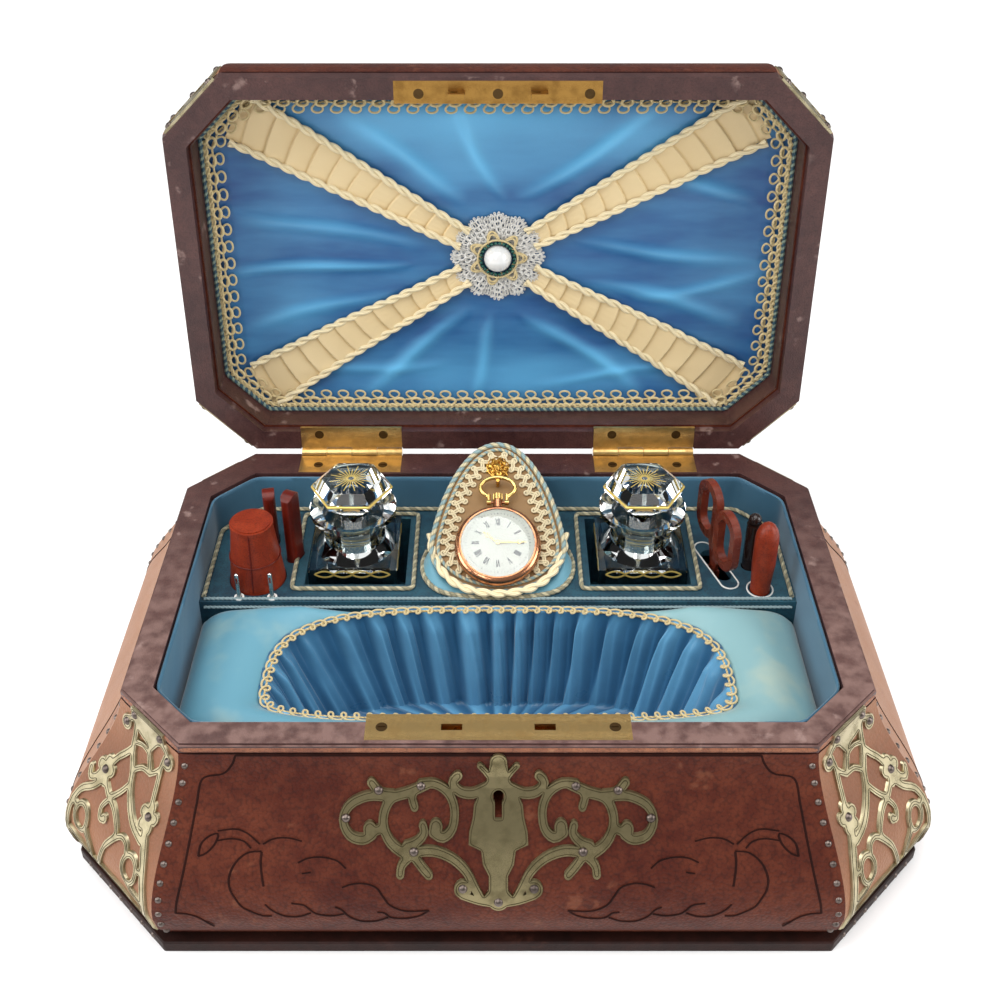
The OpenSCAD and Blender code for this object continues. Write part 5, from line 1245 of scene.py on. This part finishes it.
piece("lid_inner_wall", (inner_wall, grid_faces(4, span, True, True), {}), rim_leather, "lid",
      where=on_lid, angle=20)
print("lid satin:", len(satin.data.polygons), "faces")

# %% [markdown]
# ## Ribbons across the lid
# Four cream ribbons run from the corners to the rosette. Each is laid in pleats that overlap like
# tiles: along the ribbon the height climbs slowly and drops at once. Twisted cords are sewn down
# both edges. The ribbons widen towards the corners.

# %% Ribbons and their cords
RIBBON_START, RIBBON_WIDE, RIBBON_NARROW = 18.0, 10.0, 3.4


def ribbon(cx, cy, seed):
    """A closed strip: width from 2 x 3.4 to 2 x 10 mm, pleats as a sawtooth with painted shade where each drops,
    edges a little waved.
    """
    random = np.random.default_rng(seed)
    ahead = unit(np.array([cx, cy], float))
    side = np.array([-ahead[1], ahead[0]])
    rows, across = 420, 15
    t = np.linspace(0, 1, rows)[:, None]
    u = np.linspace(-1, 1, across)[None, :]
    length = math.hypot(cx, cy) - RIBBON_START
    wide = RIBBON_NARROW + (RIBBON_WIDE - RIBBON_NARROW) * t
    pleat = 11.5 * t ** 0.9 + 0.12 * u * np.sin(5 * t + seed) + 0.05 * u ** 2
    tooth = pleat % 1
    height = 0.95 * np.where(tooth < 0.95, tooth / 0.95, (1 - tooth) / 0.05) * (1 - 0.2 * u ** 2)
    height = height + 0.1 * np.sin(14 * u + 5 * t + random.uniform(0, 6)) * (1 - t)
    place = (RIBBON_START + length * t)[..., None] * ahead + (wide * u)[..., None] * side
    tucked = smooth(np.clip((t - 0.86) / 0.12, 0, 1))
    z = satin_at(place[..., 0], place[..., 1]) - 1.2 + 0.8 * tucked - height * (1 - 0.8 * tucked)
    top = np.concatenate([place, z[..., None]], -1)
    under = top[:, ::-1] + np.array([0, 0, 0.3])
    loop = np.concatenate([top, under], 1)
    faces = grid_faces(rows, 2 * across, False, True)
    last = (rows - 1) * 2 * across
    faces += [list(range(2 * across))[::-1], list(range(last, last + 2 * across))]
    # Painted shade: darkest where each pleat drops onto the next, fading up the pleat.
    shade = np.clip(np.exp(-(tooth / 0.07) ** 2) + 0.25 * (1 - tooth) ** 2, 0, 1)
    return (loop.reshape(-1, 3), faces, {"hollow": np.concatenate([shade, shade], 1)}), ahead, side


cords = []
for seed, (cx, cy) in enumerate(((-105, -61), (105, -61), (-105, 61), (105, 61))):
    part, ahead, side = ribbon(cx, cy, seed)
    made = piece(f"ribbon_{seed + 1}", part, ribbon_silk, "lid",
                 ["lid_straps"] if seed == 0 else [], where=on_lid, angle=45)
    for edge in (-1, 1):
        flat = [(RIBBON_START - 2 + s) * ahead + edge * side
                * (RIBBON_NARROW + 0.6 + (RIBBON_WIDE - RIBBON_NARROW) * s / 101) for s in (0, 35, 70, 103)]
        line = curve(flat, 0.8)
        pressed = np.clip((23 - np.hypot(abs(line[:, 0]) - 59.2, line[:, 1] - 38.5)) / 5, 0, 1)
        line[:, 2] = satin_at(line[:, 0], line[:, 1]) - 2.1 + 1.0 * pressed
        cords.append(braid(line, 0.92, 13.2, up=(0, 0, -1), gap=0.95))
piece("ribbon_cords", join_parts(cords), cream_cord, "lid", where=on_lid)
print("ribbon cords:", len(cords))

# %% [markdown]
# ## The lid's border
# Three trimmings follow the lid's outline: a teal and cream twisted cord in the corner between rim
# and satin, and two rows of looped gimp, the inner row finer and half a loop further on.

# %% Border of the lid


def border(out, lift, rounds, step=0.7):
    line = evenly(at_height(rim_octagon(out), 0), step, True)
    line = softened(line, rounds, True)
    line[:, 2] = lining_at(line[:, 0], line[:, 1]) - lift
    return line


UNDER = (0, 0, -1)
piece("lid_edge_cord", tube(border(-10.7, 1.1, 10, 0.4), 1.0, 12, True, UNDER, strands=2, pitch=3.0),
      teal_cord, "lid", where=on_lid)
outer = looped(border(-14.0, 1.9, 30), 7.6, -2.0, 3.9, UNDER, rise=0.3, fine=36)
shifted = np.roll(border(-16.9, 1.8, 40), 5, 0)
inner_row = looped(shifted, 7.6, -2.2, 3.9, UNDER, rise=0.3, fine=36)
heading = looped(border(-12.3, 1.5, 20), 2.5, 0.8, 0.9, UNDER, rise=0.4, fine=14)
piece("lid_gimp", join_parts([tube(outer, 0.6, 8, True, UNDER), tube(inner_row, 0.45, 7, True, UNDER),
                              tube(heading, 0.5, 7, True, UNDER)]),
      gold_gimp, "lid", where=on_lid)
print("border drawn")

# %% [markdown]
# ## The rosette
# A frill of white lace, flower-shaped loops of gold-edged gimp, a ring of green beads and a large
# pearl cover the place where the satin is tied down. The lace is threads only: looped rings of
# growing radius, joined by short bars, with tiny loops along its edge.

# %% Rosette


def ring_line(radius, depth, count, wave=0.0, lobes=8, lean=0.0, ripple=0.0):
    """A closed line round the lid's middle, its radius and its depth waved by the lobes."""
    a = np.linspace(0, 2 * math.pi, count, endpoint=False)
    r = radius + wave * np.cos(lobes * a + lean)
    return np.column_stack([r * np.cos(a), r * np.sin(a), depth - ripple * np.cos(lobes * a + lean)])


def ball(centre, radius, sides=12, rings=8):
    a = np.linspace(0.05, math.pi - 0.05, rings)
    part = lathe(np.column_stack([radius * np.sin(a), -radius * np.cos(a)]), (0, 0), sides)
    return part[0] + np.asarray(centre), part[1], part[2]


lace = []
for radius, depth, pitch, reach, swing, wire in (
        (9.5, 21.0, 2.0, 1.4, 1.3, 0.36), (12.0, 20.9, 2.2, 1.6, 1.5, 0.36), (14.4, 21.1, 2.4, 1.5, 1.6, 0.34),
        (16.9, 21.4, 3.0, 1.6, 1.7, 0.34)):
    base = ring_line(radius, depth, 700, 0.5, 12, 0, 0.35)
    lace.append(tube(looped(base, pitch, reach, swing, UNDER, rise=0.3, fine=18), wire, 5, True, UNDER))
    lace.append(tube(ring_line(radius + 0.9, depth, 360, 0.7, 12, 0, 0.35), 0.24, 5, True, UNDER))
picots = looped(ring_line(18.3, 21.7, 700, 0.9, 12, 0, 0.35), 1.55, 0.9, 0.7, UNDER, rise=0.1, fine=12)
lace.append(tube(picots, 0.26, 5, True, UNDER))
for k in range(96):
    a = 2 * math.pi * k / 96
    r = np.array([8.6, 10 + k % 3, 13 + k % 2, 18.6 + 0.9 * math.cos(12 * a)])
    bar = np.column_stack([r * math.cos(a), r * math.sin(a), 21.2 + 0.3 * np.cos(r * 2)])
    lace.append(tube(curve(bar, 0.9), 0.26, 5, up=UNDER))
piece("rosette_lace", join_parts(lace), white_thread, "lid", ["rosette"], where=on_lid)
gimps = [tube(ring_line(9.6, 19.8, 300, 2.6, 7), 0.5, 8, True, UNDER),
         tube(ring_line(8.9, 19.5, 300, 2.0, 7), 0.45, 8, True, UNDER),
         tube(ring_line(8.4, 19.0, 200), 0.45, 8, True, UNDER)]
piece("rosette_gimp", join_parts(gimps), gold_gimp, "lid", where=on_lid)
beads = [ball((7.1 * math.cos(a), 7.1 * math.sin(a), 19.0), 0.78, 8, 6)
         for a in np.linspace(0, 2 * math.pi, 26, endpoint=False)]
piece("rosette_beads", join_parts(beads), green_bead, "lid", where=on_lid)
pearl_part = lathe([[0.02, 22.2], [4.2, 22.2], [5.6, 21.2], [5.9, 19.8], [5.5, 18], [4.6, 16.4], [3.2, 15],
                    [1.6, 14.2], [0.02, 14.0]], (0, 0), 48)
piece("pearl", pearl_part, pearl, "lid", where=on_lid, angle=50)
print("rosette:", len(lace), "threads and", len(beads), "beads")

# %% [markdown]
# ## Glass, gilding and tools
# The cut bottles and their stoppers are clear glass with a chain of gilt links on their faces and a
# gilt line round each stopper. The other things in the tray are small turned or carved pieces.

# %% Bottles and gilding
for node in ("bottle_left", "bottle_right", "stopper_left", "stopper_right"):
    smooth_copy(node, glass, 30)
BOTTLE_X, BOTTLE_Y, BOTTLE_HALF = 59.2, 38.5, 18.0


def link_line(centre, half, tall):
    """A pointed oval: two arcs that meet at its ends."""
    t = np.linspace(0, 1, 17)
    bow = tall * np.sin(math.pi * t) ** 0.85
    top = np.column_stack([centre - half + 2 * half * t, bow])
    return np.vstack([top, top[-2:0:-1] * [1, -1]])


for side, body in ((-1, "left_bottle"), (1, "right_bottle")):
    gilt = []
    for k in range(4):
        flat = link_line(side * BOTTLE_X + (k - 1.5) * 7.5, 4.0, 1.55)
        for plane in (BOTTLE_Y - BOTTLE_HALF - 0.06, BOTTLE_Y + BOTTLE_HALF + 0.06):
            line = evenly(np.column_stack([flat[:, 0], np.full(len(flat), plane), 62.35 + flat[:, 1]]), 0.35, True)
            gilt.append(tube(line, 0.42, 6, True, up=(0, -1, 0), flat=0.25))
        flat = link_line(BOTTLE_Y + (k - 1.5) * 7.5, 4.0, 1.55)
        for plane in (-BOTTLE_HALF - 0.06, BOTTLE_HALF + 0.06):
            line = evenly(np.column_stack([np.full(len(flat), side * BOTTLE_X + plane), flat[:, 0],
                                           62.35 + flat[:, 1]]), 0.35, True)
            gilt.append(tube(line, 0.3, 6, True, up=(1, 0, 0), flat=0.25))
    piece(body + "_gilding", join_parts(gilt), gilding, body, angle=70)

hexagon = np.column_stack([16.08 * np.cos(np.arange(6) * math.pi / 3), 16.08 * np.sin(np.arange(6) * math.pi / 3)])
for side, body in ((-1, "left_stopper"), (1, "right_stopper")):
    centre = np.array([side * BOTTLE_X, BOTTLE_Y])
    band = tube(evenly(at_height(hexagon + centre, 93.3), 0.5, True), 0.62, 6, True, up=(0, 0, 1), flat=1.0)
    stars = []
    for k in range(24):
        a = 2 * math.pi * k / 24
        far = 8.6 if k % 2 else 6.2
        bar = np.array([[centre[0] + r * math.cos(a), centre[1] + r * math.sin(a), 97.62] for r in (1.2, far)])
        stars.append(tube(bar, 0.2, 4, flat=0.2))
    piece(body + "_gilding", join_parts([band] + stars), gilding, body, angle=70)
print("bottles gilded")

# %% Tools
for node, finish, slot in (
        ("thimble_case", red_leather, "red_leather"), ("needle_case", red_leather, "red_leather"),
        ("etui_rear", deep_red_leather, "dark_red_leather"),
        ("etui_front", deep_red_leather, "dark_red_leather"),
        ("scissors_rear_half", loop_leather, "dark_red_leather"),
        ("scissors_front_half", loop_leather, "dark_red_leather"), ("stiletto", horn, "horn"),
        ("scissors_screw", silver, "steel"), ("bodkin_left", silver, "steel"),
        ("bodkin_right", silver, "steel"), ("thimble", silver, "steel")):
    smooth_copy(node, finish, 40)
case_x, case_y = -97.8, 21.7
a = np.linspace(0, 2 * math.pi, 96, endpoint=False)
seam = curve([[case_x - 0.2, case_y - 11.0, 61], [case_x, case_y - 9.9, 75], [case_x, case_y - 8.4, 88]], 0.6)
trim = [tube(np.column_stack([case_x + 10.1 * np.cos(a), case_y + 10.1 * np.sin(a), np.full(96, 72.6)]),
             0.3, 8, True), tube(seam, 0.28, 8, up=(0, -1, 0))]
piece("thimble_case_trim", join_parts(trim), deep_red_leather, "thimble_holder")
print("tools are dressed")

# %% [markdown]
# ## Table, light and camera
# The floor is plain and pale, so that the box's shadow and its contact with the ground show. The
# world is white to the camera and through glass, and dimmer as light. A wide soft light from above
# whitens the floor, a large lamp stands on each side, and a small one in front models the folds.

# %% Floor and light
floor_finish = Finish("studio_floor", Roughness=0.85)
floor_finish.to("Base Color", floor_finish.mix("#f6f6f6", "#fafafa", floor_finish.noise(400)))
stage_part = (np.array([[-1500, -1500, 0], [1500, -1500, 0], [1500, 1500, 0], [-1500, 1500, 0]]) - [0, 0, 0.05],
              [[0, 1, 2, 3]], {})
stage_mesh = bpy.data.meshes.new("studio_floor")
stage_mesh.from_pydata((stage_part[0] * MM).tolist(), [], stage_part[1])
stage_mesh.materials.append(floor_finish.material)
stage = bpy.data.objects.new("studio_floor", stage_mesh)
bpy.context.scene.collection.objects.link(stage)

world = bpy.data.worlds.new("studio")
bpy.context.scene.world = world
world.use_nodes = True
tree = world.node_tree
sky = tree.nodes["Background"]
sky.inputs["Color"].default_value = (1, 1, 1, 1)
rays_seen = tree.nodes.new("ShaderNodeLightPath")
either = tree.nodes.new("ShaderNodeMath")
either.operation = "MAXIMUM"
tree.links.new(rays_seen.outputs["Is Camera Ray"], either.inputs[0])
tree.links.new(rays_seen.outputs["Is Transmission Ray"], either.inputs[1])
strength = tree.nodes.new("ShaderNodeMapRange")
strength.inputs[3].default_value = 0.36
strength.inputs[4].default_value = 1.0
tree.links.new(either.outputs[0], strength.inputs[0])
tree.links.new(strength.outputs[0], sky.inputs["Strength"])


def lamp(name, place, aim, size, power):
    light = bpy.data.lights.new(name, "AREA")
    light.shape, light.size, light.energy = "DISK", size, power
    made = bpy.data.objects.new(name, light)
    bpy.context.scene.collection.objects.link(made)
    made.location = place
    direction = np.array(aim) - np.array(place)
    flat = math.hypot(direction[0], direction[1])
    made.rotation_euler = (math.atan2(flat, -direction[2]), 0, math.atan2(-direction[0], direction[1]))
    return made


lamp("key", (-0.4, -0.8, 0.75), (0, 0, 0.12), 0.25, 1.7)
lamp("left", (-1.0, -0.25, 0.5), (0, 0, 0.06), 0.7, 6.5)
lamp("right", (1.0, -0.25, 0.5), (0, 0, 0.06), 0.7, 6.5)
overhead = bpy.data.lights.new("overhead", "SUN")
overhead.energy, overhead.angle = 2.35, math.radians(60)
above = bpy.data.objects.new("overhead", overhead)
bpy.context.scene.collection.objects.link(above)
above.location, above.rotation_euler = (0, 0, 1.5), (math.radians(8), math.radians(-6), 0)

# %% Camera
CAMERA_PLACE = (-0.00119, -0.3811, 0.4078)
CAMERA_TILT = math.radians(90 - 33.448)
view = bpy.data.cameras.new("photo_view")
view.lens, view.sensor_width = 46.52, 36.0
view.shift_x, view.shift_y = 0.0051, -0.09
camera = bpy.data.objects.new("photo_view", view)
bpy.context.scene.collection.objects.link(camera)
camera.location, camera.rotation_euler = CAMERA_PLACE, (CAMERA_TILT, 0, 0)
scene = bpy.context.scene
scene.camera = camera
scene.view_settings.view_transform = "Standard"
print("camera at", CAMERA_PLACE)

# %% [markdown]
# ## Last update
# The view layer is brought up to date once more.

# %% Update the view layer
bpy.context.view_layer.update()
